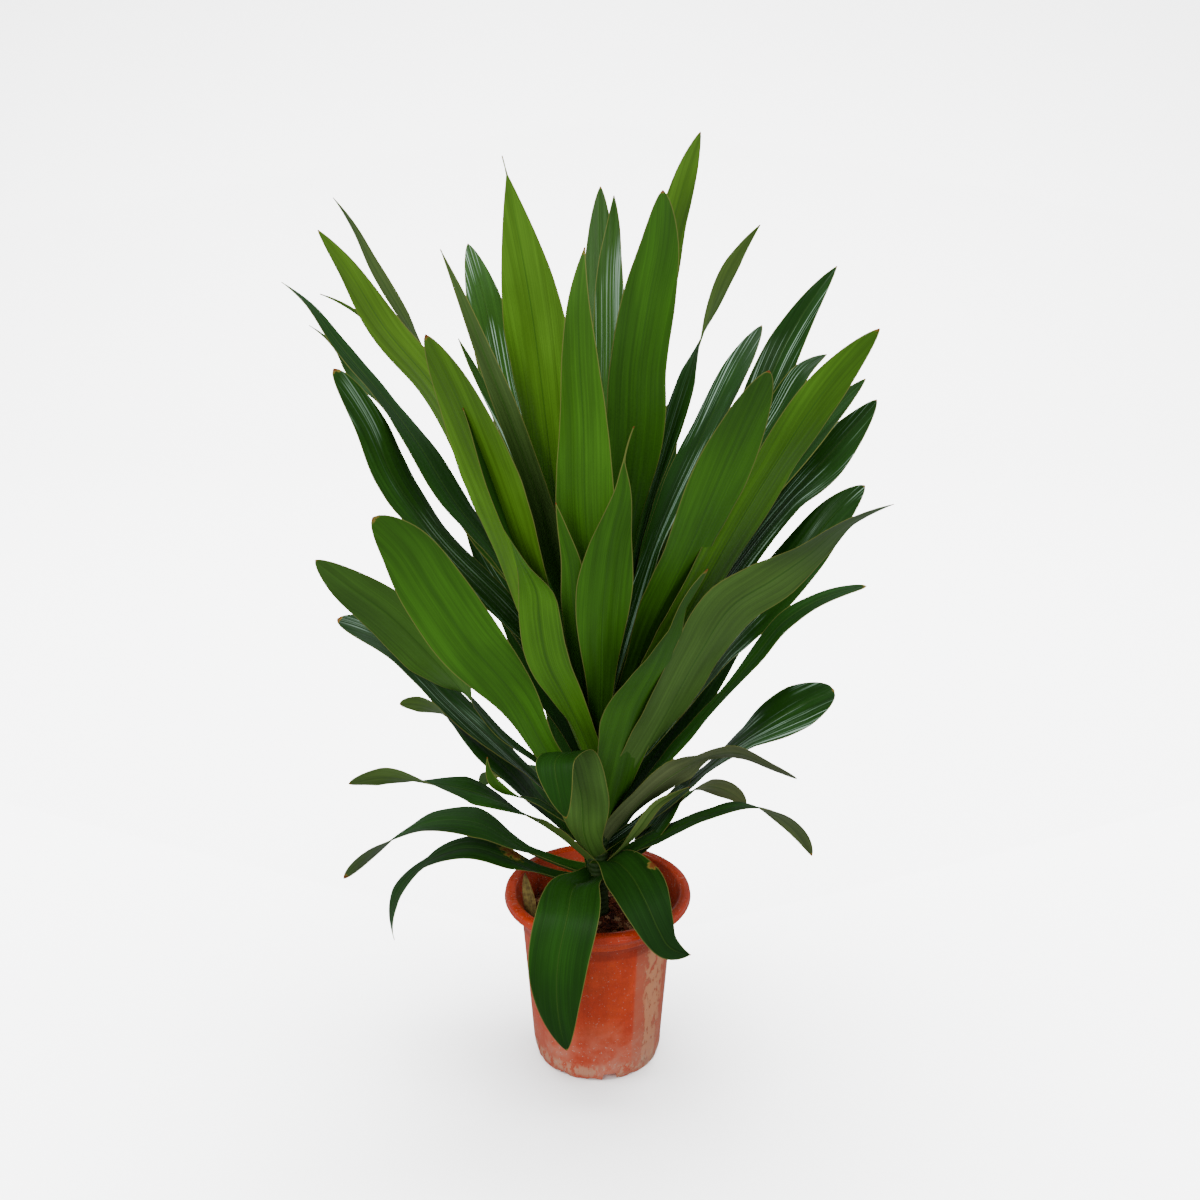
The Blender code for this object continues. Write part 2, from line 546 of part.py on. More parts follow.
def build_leaf(row, surface):
    """One leaf of the table, rooted on the stem's axis."""
    name, base, width, widest, point, line = row
    points = [(0.0, 0.0, base * MM)]
    rolls = [0]
    for azimuth, reach, height, roll in line:
        turn = math.radians(azimuth)
        points.append((reach * MM * math.cos(turn), reach * MM * math.sin(turn), height * MM))
        rolls.append(roll)
    turn = math.radians(line[0][0])
    side = np.array([-math.sin(turn), math.cos(turn), 0.0])
    return blade(name, points, rolls, side, (width * MM, widest, point), surface)


def build_plant(surface):
    """The stem with every leaf joined to it as one grown body."""
    stem = build_stem(surface)
    leaves = [build_leaf(row, surface) for row in LEAVES]
    apply_boolean(stem, "UNION", leaves)
    return stem


def build_dry_leaf(surface):
    """The withered leaf piece, on end between the soil and the pot's wall."""
    points = [tuple(value * MM for value in place) for place in DRY_LEAF_SPINE]
    side = np.array(DRY_LEAF_SIDE)
    return blade("dry_leaf", points, DRY_LEAF_ROLLS, side, DRY_LEAF_SHAPE, surface)


def main():
    """Build the four pieces."""
    clear_scene()
    build_pot(material("terracotta_plastic", (0.62, 0.13, 0.045), 0.55))
    build_soil(material("bark_soil", (0.10, 0.035, 0.02), 0.95))
    build_plant(material("green_leaf", (0.05, 0.16, 0.02), 0.4))
    build_dry_leaf(material("dry_leaf", (0.28, 0.21, 0.08), 0.7))


main()
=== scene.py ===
"""The looks of the potted dracaena: its leaves, stem, soil and pot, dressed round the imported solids.

Metres, +Z up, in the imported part's frame. The stem stands on the Z axis, and azimuth 0 is +X.
"""

import math
import random

import bmesh
import bpy
import numpy as np
from mathutils import Matrix, Vector, noise


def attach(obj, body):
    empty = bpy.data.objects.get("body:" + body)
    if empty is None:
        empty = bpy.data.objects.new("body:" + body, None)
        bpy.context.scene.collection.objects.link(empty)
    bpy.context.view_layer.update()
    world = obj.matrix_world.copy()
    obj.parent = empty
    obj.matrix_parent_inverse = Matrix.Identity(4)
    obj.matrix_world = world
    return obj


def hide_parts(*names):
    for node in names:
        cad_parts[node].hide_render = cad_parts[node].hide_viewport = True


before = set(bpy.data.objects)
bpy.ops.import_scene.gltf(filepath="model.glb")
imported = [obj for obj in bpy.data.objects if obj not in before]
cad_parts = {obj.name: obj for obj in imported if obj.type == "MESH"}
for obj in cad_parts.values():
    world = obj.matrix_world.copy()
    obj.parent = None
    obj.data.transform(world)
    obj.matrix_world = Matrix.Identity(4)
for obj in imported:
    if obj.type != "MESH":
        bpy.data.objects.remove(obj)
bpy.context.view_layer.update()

MM = 0.001
GAP = 0.3 * MM
TURN = 2 * math.pi

# The photograph's camera
CAMERA_PLACE = (0.0024, -1.35, 0.98)
CAMERA_LENS = 45.36
CAMERA_PITCH = math.radians(70.32)

# The leaf blades, fine enough to show their waves, and wider and more keeled at their roots than
# the solids' blades
ALONG = 56
ACROSS = 16
BLADE_THICKNESS = 0.7 * MM
MARGIN_THICKNESS = 0.35 * MM
ROOT_HALF_WIDTH = 9 * MM
ROOT_SPREAD = 0.35
KEEL_ANGLE = math.radians(34)
RESTING_KEEL_ANGLE = math.radians(8)
KEEL_LENGTH = 0.35
NECK_SHARE = 0.42
SWELL_SHARE = 0.42
TIP_CROWDING = 1.25
KEEL_ROUNDING = 0.10
ARCH = 0.10
WAVE_HEIGHT = 2.2 * MM
WAVE_LENGTH = 170 * MM
ARCH_START = 0.4
PATH_SAMPLES = 241
RIPPLE_HEIGHT = 0.5 * MM
RIPPLE_LENGTH = 47 * MM
RIPPLE_BEAT = 210 * MM
PLEAT_HEIGHT = 0.35 * MM
PLEATS = 5
PLEAT_FULL_HALF = 20 * MM
TIP_HALF_WIDTH = 0.5 * MM
LEAF_SEED = 5

# Leaf colours, each from dark to light, the grey olive of a painted sheen and the green of painted
# highlight streaks
UPPER_COLOURS = ((0.009, 0.040, 0.005), (0.017, 0.080, 0.006), (0.055, 0.165, 0.018))
UNDER_COLOURS = ((0.036, 0.110, 0.009), (0.055, 0.185, 0.009), (0.140, 0.320, 0.020))
SHEEN_OLIVE = (0.165, 0.170, 0.085)
HIGHLIGHT_STREAK_GREEN = (0.42, 0.62, 0.46)

# The pot has the solids' sizes and more sides. The ridge under its collar, its softer step at the
# foot and the azimuth of its facets are only here, as the photograph shows them.
POT_RIM_DIAMETER = 190 * MM
POT_HEIGHT = 187 * MM
BASE_RADIUS = 63.5 * MM
BODY_FOOT_RADIUS = 67.5 * MM
BODY_TOP_RADIUS = 77.5 * MM
WALL = 2.4 * MM
FLOOR = 3 * MM
FOOT_STEP_HEIGHT = 19 * MM
SHOULDER_HEIGHT = 156 * MM
POT_SIDES = 240
FACETS = 10
FACET_CORNER_AZIMUTH = math.radians(300)
FACET_FLATNESS = 0.45
PAD_RADIUS = 45 * MM
CHANNEL_DEPTH = 7.4 * MM
NOTCH_AZIMUTHS = [math.radians(a) for a in (281, 11, 101, 191)]
NOTCH_WIDTH = 16 * MM
NOTCH_HEIGHT = 8 * MM
DRAIN_AZIMUTHS = [math.radians(a) for a in (56, 146, 236, 326)]
DRAIN_RING_RADIUS = 51.5 * MM
DRAIN_RADIUS = 4.5 * MM
COLLAR_DROP = 24.5 * MM
COLLAR_REACH = 3.6 * MM
RIM_BAND = 16 * MM
RIM_INSET = 12 * MM
INSIDE_FLOOR = 10 * MM
FOOT_WEAR_TOP = 9 * MM
FOOT_WEAR_RISE = 3.0 * MM

# The azimuths between which the pot is faded and scaled: from, full, still full and to
SUNNY_SIDE = [math.radians(a) for a in (-61, -58, -19, -13)]
CRUSTED_SIDE = [math.radians(a) for a in (-56, -44, -32, -22)]

# The soil, its loose bark, and the stem in its hole
SOIL_TOP = 158 * MM
SOIL_EDGE = 156 * MM
SOIL_SIDES = 160
HOLE_RADIUS = 12.6 * MM
HOLE_BOTTOM = 100 * MM
FLAKES = 230
CRUMBS = 420
FIBRES = 90
CHIP_SEED = 23
CHIP_RING_MM = (15.5, 70.5)
STEM_RADIUS = 12 * MM
STEM_TOP = 404 * MM
STEM_SIDES = 72
SCAR_SPACING = 5.5 * MM

# The withered leaf that stands on the soil against the pot's wall
DRY_LEAF_SPINE = [
    (-65, -19, 157.9), (-67, -15, 168), (-69.5, -11, 180), (-72, -6, 192), (-73.5, -2, 204)]
DRY_LEAF_SIDE = (1.0, 0.12, 0.0)
DRY_LEAF_ROLLS = (0, 0, 4, 10, 18)
DRY_LEAF_SHAPE = (12 * MM, 0.4, 0.4)
DRY_LEAF_SEED = 41

# The studio
WORLD_STRENGTH = 0.40
KEY_POWER = 55
FILL_POWER = 18
CEILING_POWER = 60
FLOOD_POWER = 2700
FLOOR_FRONT = -5.0
SWEEP_START = 2.5
SWEEP_RADIUS = 1.5
BACKDROP_TOP = 7.0
BACKDROP_HALF = 7.0

# Every leaf, as the solids have it: its name, the height at which it leaves the stem and its
# greatest width in mm, where along it that width lies, how drawn out its tip is, and its centre
# line as azimuth in degrees, reach from the axis and height above the floor in mm, and roll in
# degrees.
LEAVES = [
    ("front_hanging", 200, 61, 0.45, 0.4, [
        (255, 37, 214, 0), (253, 81, 230, 0), (256, 116, 223, 0), (254, 131, 188, 0),
        (253, 131, 135, 0), (256, 123, 77, 0)]),
    ("right_hanging", 204, 58, 0.45, 0.9, [
        (305, 30, 230, 0), (302, 59, 231, 0), (300, 95, 216, 4), (303, 107, 193, 4),
        (308, 112, 173, 4), (318, 122, 160, 0)]),
    ("left_hook", 188, 54, 0.5, 0.1, [
        (184, 60, 206, -10), (184, 88, 222, -2), (185, 130, 238, -10), (187, 173, 226, -20),
        (188, 204, 191, 0), (188, 207, 143, 0)]),
    ("left_arch", 196, 58, 0.5, 0.2, [
        (178, 68, 224, -16), (178, 123, 258, -2), (179, 168, 259, -8), (181, 203, 245, -20),
        (182, 228, 229, -38), (184, 255, 207, -60)]),
    ("left_twist", 206, 54, 0.5, 0.0, [
        (190, 62, 268, -28), (190, 127, 307, 2), (191, 175, 322, -22), (192, 213, 333, -58),
        (193, 243, 331, -60)]),
    ("left_small_pale", 215, 20, 0.5, 0.9, [
        (198, 58, 290, -10), (200, 96, 312, -40), (202, 110, 330, -70), (203, 114, 354, -70)]),
    ("left_pale_tip", 222, 52, 0.5, -0.1, [
        (165, 50, 260, -8), (165, 90, 305, -2), (165, 120, 330, -6), (165, 155, 357, -26),
        (167, 184, 371, -64), (168, 203, 371, -70)]),
    ("left_broad_twist", 248, 58, 0.66, 0.2, [
        (186, 52, 321, 0), (180, 91, 353, -8), (178, 124, 392, -10), (178, 138, 410, -45),
        (180, 161, 441, -75), (186, 200, 493, -80), (189, 235, 527, -80), (190, 260, 552, -75)]),
    ("left_dark_tip", 240, 52, 0.6, -0.1, [
        (160, 85, 311, -8), (160, 156, 367, -6), (160, 228, 428, 12), (160, 283, 442, 28)]),
    ("left_broad", 262, 62, 0.68, 0.0, [
        (221, 64, 357, -46), (218, 95, 420, -60), (214, 143, 489, -62), (213, 173, 540, -62),
        (212, 199, 586, -62), (211, 223, 613, -60)]),
    ("left_streaked", 300, 56, 0.62, -0.1, [
        (163, 68, 449, 2), (168, 164, 556, 2), (168, 197, 603, 8), (167, 223, 660, 16),
        (167, 254, 707, 24)]),
    ("left_streaked_inner", 308, 50, 0.5, 0.7, [
        (139, 92, 449, -2), (141, 144, 508, -2), (141, 176, 559, 0)]),
    ("left_thin", 318, 20, 0.6, 0.7, [
        (138, 83, 465, 0), (148, 149, 547, 0), (151, 197, 617, 0), (153, 233, 665, -6),
        (153, 274, 690, -10), (153, 287, 711, -10), (154, 315, 734, -10)]),
    ("left_long", 330, 50, 0.5, 0.85, [
        (159, 73, 493, -8), (161, 153, 591, -4), (160, 179, 628, -4), (157, 222, 671, -4),
        (158, 266, 720, -2), (158, 303, 762, -2), (158, 328, 778, 0)]),
    ("left_thin_high", 335, 16, 0.5, 0.4, [
        (216, 74, 519, -10), (215, 149, 680, -14), (212, 195, 752, -18), (209, 220, 782, -22),
        (207, 235, 793, -26), (204, 248, 799, -26)]),
    ("left_light", 338, 50, 0.62, 0.4, [
        (222, 80, 531, -2), (222, 146, 669, -8), (221, 180, 728, -12), (218, 214, 774, -18),
        (217, 250, 833, -24), (216, 266, 856, -24)]),
    ("left_high", 345, 27, 0.5, 0.3, [
        (152, 65, 523, 0), (151, 161, 673, -14), (152, 208, 748, -64), (152, 240, 793, -72),
        (152, 267, 836, -68), (152, 285, 856, -55)]),
    ("front_left_long", 300, 60, 0.64, 0.2, [
        (236, 85, 484, 6), (237, 134, 592, 0), (236, 169, 672, -6), (235, 205, 744, -10),
        (234, 225, 780, -10)]),
    ("front_left", 278, 46, 0.5, 1.0, [
        (256, 41, 365, 10), (248, 75, 424, 10), (243, 99, 471, 10), (243, 112, 514, 10),
        (244, 120, 543, 15), (241, 138, 580, 50), (239, 154, 616, 75), (237, 172, 667, 80),
        (236, 192, 717, 60)]),
    ("left_narrow", 360, 26, 0.45, 0.8, [
        (239, 58, 515, 0), (241, 104, 622, -10), (235, 129, 699, -25), (229, 146, 759, -45),
        (225, 158, 802, -50), (221, 167, 836, -30)]),
    ("back_left_pale", 350, 60, 0.55, 0.3, [
        (122, 79, 512, -30), (122, 182, 673, -22), (120, 235, 757, 10), (119, 276, 801, 10)]),
    ("front_left_tall", 340, 60, 0.75, 1.2, [
        (248, 54, 505, 20), (242, 82, 634, 12), (242, 93, 690, 10), (239, 107, 793, 0),
        (236, 121, 870, -10), (235, 126, 896, -10)]),
    ("front_tall", 335, 54, 0.5, 0.75, [
        (267, 85, 528, 15), (265, 119, 629, 15), (265, 130, 701, 15), (264, 138, 764, 15),
        (264, 140, 800, 15), (266, 138, 841, 15)]),
    ("back_tall", 360, 46, 0.6, 0.3, [
        (87, 60, 578, 10), (88, 118, 733, 10), (89, 155, 833, 10), (89, 165, 864, 10)]),
    ("back_tall_right", 365, 38, 0.62, 0.5, [
        (76, 33, 587, 10), (82, 81, 720, 10), (83, 101, 802, 10), (82, 109, 838, 10),
        (82, 111, 860, 10)]),
    ("front_right_tall", 340, 56, 0.66, 0.15, [
        (294, 55, 572, -15), (294, 82, 683, 0), (293, 89, 733, 0), (296, 98, 792, 8),
        (299, 106, 841, 8), (299, 109, 881, 8)]),
    ("tallest", 360, 52, 0.6, 0.4, [
        (312, 43, 607, -20), (322, 81, 853, 2), (325, 93, 898, 20), (328, 100, 924, 20)]),
    ("right_waisted", 350, 46, 0.6, 0.7, [
        (335, 53, 597, -32), (338, 86, 715, -38), (341, 100, 761, -15), (343, 121, 815, 32),
        (345, 143, 848, 35)]),
    ("back_right_glossy", 330, 56, 0.55, 0.2, [
        (50, 80, 522, 30), (50, 171, 636, 20), (50, 225, 694, 2), (50, 261, 724, 0)]),
    ("right_streaked", 322, 54, 0.5, 0.5, [
        (39, 117, 520, 16), (39, 194, 634, 2), (38, 240, 719, -32), (38, 304, 785, -34)]),
    ("right_streaked_inner", 312, 50, 0.55, 0.4, [
        (28, 105, 526, 16), (28, 196, 656, -4), (28, 230, 699, -28), (28, 253, 709, -28)]),
    ("right_light", 308, 58, 0.48, 0.3, [
        (325, 92, 489, 14), (326, 180, 653, 22), (326, 228, 729, 56), (325, 272, 780, 64)]),
    ("right_small", 300, 50, 0.55, 0.4, [
        (20, 116, 519, 4), (20, 228, 649, -22), (20, 275, 690, -36)]),
    ("right_streaked_low", 290, 60, 0.55, 0.2, [
        (22, 116, 476, 10), (22, 202, 577, -6), (22, 241, 612, -40), (22, 295, 666, -40)]),
    ("front_right_long", 286, 56, 0.6, 0.1, [
        (309, 72, 481, 0), (307, 134, 586, 8), (305, 186, 674, 24), (302, 247, 757, 32)]),
    ("right_broad_streaked", 265, 60, 0.55, 0.1, [
        (16, 131, 435, 2), (16, 211, 526, -34), (16, 244, 566, -45), (16, 271, 589, -45)]),
    ("right_olive", 252, 66, 0.4, 0.5, [
        (323, 83, 406, 10), (323, 117, 472, 24), (324, 148, 523, 38), (325, 186, 554, 44),
        (326, 217, 581, 30), (325, 252, 615, 14), (325, 294, 640, 14)]),
    ("right_low_bar", 238, 32, 0.5, -0.3, [
        (350, 101, 381, -8), (349, 131, 422, -14), (349, 152, 452, -18), (350, 177, 487, -18),
        (350, 204, 508, -18), (350, 250, 526, -18)]),
    ("right_paddle", 218, 58, 0.68, -0.3, [
        (10, 55, 262, 8), (10, 110, 309, 16), (10, 154, 342, 4), (10, 205, 372, -32),
        (10, 240, 387, -32)]),
    ("right_wavy", 222, 48, 0.4, -0.2, [
        (342, 26, 265, 34), (343, 52, 300, 36), (345, 83, 329, 42), (347, 105, 343, 18),
        (347, 136, 352, 36), (347, 173, 340, 36), (347, 196, 331, 34)]),
    ("right_small_pale", 212, 34, 0.7, 0.2, [
        (25, 70, 253, 10), (24, 98, 271, 30), (22, 123, 278, 60), (20, 139, 273, 66),
        (18, 154, 263, 66), (17, 160, 257, 60)]),
    ("right_short_dark", 208, 15, 0.5, 0.2, [
        (330, 25, 235, 20), (338, 43, 261, 24), (344, 64, 292, 24), (347, 79, 302, 24),
        (349, 92, 309, 20)]),
    ("right_low_dark", 196, 42, 0.6, 0.2, [
        (8, 28, 214, 0), (12, 49, 236, 0), (13, 69, 262, 0), (14, 88, 288, 0),
        (14, 98, 303, 0)]),
    ("right_arch", 200, 46, 0.45, 0.3, [
        (352, 63, 249, -4), (352, 105, 275, 12), (355, 151, 286, 20), (357, 191, 263, 34),
        (358, 215, 227, 40)]),
    ("front_centre", 285, 50, 0.68, 1.4, [
        (273, 60, 430, -10), (273, 108, 536, -10), (275, 128, 592, -10), (278, 151, 647, -10),
        (278, 161, 677, -10)]),
    ("centre_small", 310, 26, 0.6, 0.8, [
        (256, 64, 461, 0), (259, 106, 534, 0), (259, 120, 576, 0), (257, 129, 605, 0),
        (255, 134, 630, 0)]),
    ("front_right_broad", 232, 72, 0.44, 0.7, [
        (300, 30, 299, 0), (297, 61, 377, 5), (296, 83, 422, 0), (298, 113, 471, -15),
        (300, 141, 524, -32), (301, 158, 554, -20), (303, 171, 576, -10)]),
    ("front_folded", 216, 56, 0.5, 0.5, [
        (253, 42, 268, 0), (256, 67, 330, 0), (251, 89, 378, 0), (250, 112, 378, 0),
        (253, 120, 355, 0), (256, 118, 326, 0)]),
    ("back_sliver", 340, 22, 0.55, 0.6, [
        (128, 62, 521, 0), (133, 124, 631, 0), (136, 159, 684, 0), (137, 186, 723, 0)]),
    ("back_low_right", 206, 50, 0.5, 0.5, [
        (62, 66, 258, 0), (62, 120, 276, 0), (64, 165, 258, 10), (66, 195, 222, 20)]),
    ("back_low", 196, 58, 0.5, 0.6, [
        (98, 60, 240, 0), (98, 120, 268, 0), (98, 178, 246, 0), (98, 214, 190, 0)]),
    ("back_low_left", 212, 50, 0.5, 0.6, [
        (128, 60, 248, 0), (128, 115, 264, 0), (128, 168, 254, -10), (128, 212, 214, -20)]),
    ("back_mid_left", 244, 54, 0.5, 0.4, [
        (108, 73, 320, 0), (106, 137, 400, 0), (104, 196, 452, 0)]),
    ("back_left", 286, 56, 0.5, 0.5, [
        (128, 71, 384, 0), (128, 140, 452, 0), (128, 205, 500, 0)]),
    ("back_upper_left", 325, 58, 0.5, 0.4, [
        (106, 80, 466, 0), (106, 150, 572, 0), (106, 208, 650, 0)]),
    ("back_upper", 345, 54, 0.5, 0.4, [
        (90, 66, 470, 0), (90, 118, 590, 0), (90, 166, 690, 0)]),
    ("back_upper_right", 335, 58, 0.5, 0.4, [
        (69, 72, 460, 0), (68, 138, 570, 0), (66, 198, 655, 0)]),
    ("back_right", 300, 56, 0.5, 0.5, [
        (58, 76, 440, 0), (58, 160, 540, 0), (58, 245, 610, 0)]),
    ("back_mid_right", 266, 56, 0.5, 0.4, [
        (46, 76, 360, 0), (46, 150, 430, 0), (46, 212, 468, 0)]),
    ("back_side_right", 246, 54, 0.5, 0.5, [
        (30, 76, 330, 0), (30, 135, 396, 0), (30, 190, 450, 0)]),
    ("back_mid", 256, 56, 0.5, 0.4, [
        (84, 70, 330, 0), (86, 130, 380, 0), (88, 185, 396, 0), (90, 224, 372, 0)]),
]

# How light and yellow a leaf's upper side and its underside are, from -1 dark to 1 light. Leaves
# not named here have 0 for both.
TONES = {
    "left_light": (0.9, 1.0),
    "left_high": (-0.2, -0.3),
    "left_long": (-0.3, -0.3),
    "left_thin": (0.5, 0.5),
    "left_thin_high": (0.6, 0.6),
    "left_pale_tip": (0.0, 0.6),
    "left_twist": (0.0, 0.3),
    "left_small_pale": (0.0, 0.1),
    "left_streaked": (0.2, 0.0),
    "right_light": (0.0, 0.5),
    "back_tall": (0.8, 0.0),
    "back_left_pale": (0.7, 0.0),
    "left_narrow": (-0.2, -0.5),
    "left_dark_tip": (-0.5, 0.0),
    "left_broad": (0.0, -0.3),
    "back_sliver": (0.6, 0.5),
    "back_tall_right": (0.8, 0.6),
    "front_left_tall": (0.5, 0.6),
    "front_left_long": (0.0, 0.55),
    "front_left": (0.0, 0.3),
    "front_tall": (0.1, 0.2),
    "front_hanging": (-0.1, 0.0),
    "right_hanging": (-0.5, 0.0),
    "front_right_broad": (-0.2, -0.3),
    "tallest": (0.5, 0.7),
    "right_waisted": (-0.2, 1.0),
    "right_olive": (0.0, -0.2),
    "right_wavy": (0.0, 0.2),
    "right_small_pale": (0.6, 0.9),
    "right_short_dark": (0.3, 0.5),
}

# How much painted grey sheen covers the underside of a leaf, from 0 to 1. Leaves not named here have 0.
SHEEN_SHARES = {
    "right_wavy": 1.0,
    "right_small_pale": 1.0,
    "right_arch": 0.7,
    "right_waisted": 0.4,
    "right_short_dark": 0.6,
    "right_olive": 0.35,
    "left_hook": 0.5,
    "left_arch": 0.5,
    "left_twist": 0.5,
    "left_pale_tip": 0.4,
    "left_high": 0.6,
    "left_narrow": 0.4,
    "front_folded": 0.35,
    "left_broad_twist": 0.2,
}

# How glossy the upper side of a leaf is and how strongly painted highlight streaks cover it, from 0 to
# 1.2. Leaves not named here have 0.
GLOSS = {
    "right_paddle": 1.0,
    "right_streaked": 1.0,
    "right_streaked_inner": 1.0,
    "right_streaked_low": 1.0,
    "right_small": 0.8,
    "right_broad_streaked": 1.0,
    "back_right_glossy": 1.0,
    "back_left_pale": 1.2,
    "back_tall": 1.2,
    "back_tall_right": 0.8,
    "back_sliver": 1.0,
    "left_streaked": 0.5,
    "left_streaked_inner": 0.7,
    "left_dark_tip": 0.6,
    "left_pale_tip": 0.4,
    "left_broad_twist": 0.3,
    "right_waisted": 0.4,
    "right_low_dark": 0.5,
}

# Brown patches away from a tip: share along the leaf, place across it, and the reach in each
DRY_PATCHES = {
    "left_hook": (0.33, -0.8, 0.05, 0.7),
    "right_hanging": (0.38, 0.95, 0.028, 0.22),
}

# How far a leaf's tip has dried, in mm from its end. Leaves not named here have 2.
DRY_TIPS = {
    "left_dark_tip": 5,
    "left_streaked": 6,
    "front_left_long": 5,
    "front_tall": 5,
    "right_light": 4,
    "right_low_bar": 4,
    "front_right_broad": 5,
    "left_arch": 6,
    "left_hook": 7,
    "right_arch": 4,
    "front_folded": 3,
    "left_broad": 4,
}
USUAL_DRY_TIP = 2

# The end of a withered hair that some leaf tips run out into, as a further point of their line
TIP_HAIRS = {
    "front_left_tall": [(234, 128, 908, -10)],
    "front_centre": [(280, 170, 704, -30)],
}


class Surface:
    """A Principled material, and short ways to add nodes to it."""

    def __init__(self, name):
        self.material = bpy.data.materials.new(name)
        self.material.use_nodes = True
        self.tree = self.material.node_tree
        self.shader = self.tree.nodes["Principled BSDF"]

    def feed(self, socket, value):
        """Link a socket to another node's output, or give it a plain value."""
        if isinstance(value, bpy.types.NodeSocket):
            self.tree.links.new(value, socket)
        elif isinstance(value, tuple) and len(value) == 3 and socket.type == "RGBA":
            socket.default_value = (*value, 1.0)
        else:
            socket.default_value = value

    def node(self, kind, inputs, **settings):
        """A new node with its settings and inputs."""
        made = self.tree.nodes.new(kind)
        for name, value in settings.items():
            setattr(made, name, value)
        for name, value in inputs.items():
            self.feed(made.inputs[name], value)
        return made

    def math(self, operation, first, second=0.0):
        """One sum on two values."""
        return self.node("ShaderNodeMath", {0: first, 1: second}, operation=operation).outputs[0]

    def times(self, first, second):
        """Two values multiplied."""
        return self.math("MULTIPLY", first, second)

    def plus(self, first, second):
        """Two values added."""
        return self.math("ADD", first, second)

    def attribute(self, name):
        """A mesh attribute's vector."""
        return self.node("ShaderNodeAttribute", {}, attribute_name=name).outputs["Vector"]

    def parts(self, vector):
        """A vector's three values."""
        return tuple(self.node("ShaderNodeSeparateXYZ", {"Vector": vector}).outputs)

    def vector(self, x, y, z):
        """A vector of three values."""
        return self.node("ShaderNodeCombineXYZ", {"X": x, "Y": y, "Z": z}).outputs[0]

    def place(self):
        """The place on the object, in its own frame."""
        return self.node("ShaderNodeTexCoord", {}).outputs["Object"]

    def noise(self, place, scale, detail=3.0, roughness=0.5):
        """Smooth random values from 0 to 1."""
        inputs = {"Vector": place, "Scale": scale, "Detail": detail, "Roughness": roughness}
        return self.node("ShaderNodeTexNoise", inputs).outputs["Fac"]

    def ramp(self, value, low, high, start=0.0, end=1.0):
        """A smooth rise from start at low to end at high."""
        inputs = {"Value": value, "From Min": low, "From Max": high, "To Min": start, "To Max": end}
        made = self.node("ShaderNodeMapRange", inputs, interpolation_type="SMOOTHSTEP")
        return made.outputs["Result"]

    def band(self, value, low, full, last, high):
        """A smooth rise from low to full, and a smooth fall from last to high."""
        return self.times(self.ramp(value, low, full), self.ramp(value, last, high, 1.0, 0.0))

    def mix(self, factor, first, second, blend_type="MIX"):
        """Two colours mixed by a factor."""
        inputs = {0: factor, 6: first, 7: second}
        made = self.node("ShaderNodeMix", inputs, data_type="RGBA", blend_type=blend_type)
        return made.outputs[2]

    def shade(self, colour, value):
        """A colour made darker or lighter by a value."""
        grey = self.node("ShaderNodeCombineColor", {0: value, 1: value, 2: value}).outputs[0]
        return self.mix(1.0, colour, grey, "MULTIPLY")

    def cover(self, colour, other, mask, most):
        """A colour covered by another one where the mask is, up to this share."""
        return self.mix(self.times(mask, most), colour, other)

    def bump(self, height, distance):
        """Relief from a height of 0 to 1 over this distance."""
        inputs = {"Height": height, "Distance": distance, "Strength": 1.0}
        return self.node("ShaderNodeBump", inputs).outputs["Normal"]

    def finish(self, colour, roughness, normal=None, specular=0.5):
        """Feed the shader."""
        self.feed(self.shader.inputs["Base Color"], colour)
        self.feed(self.shader.inputs["Roughness"], roughness)
        self.shader.inputs["Specular IOR Level"].default_value = specular
        if normal is not None:
            self.feed(self.shader.inputs["Normal"], normal)
        return self.material


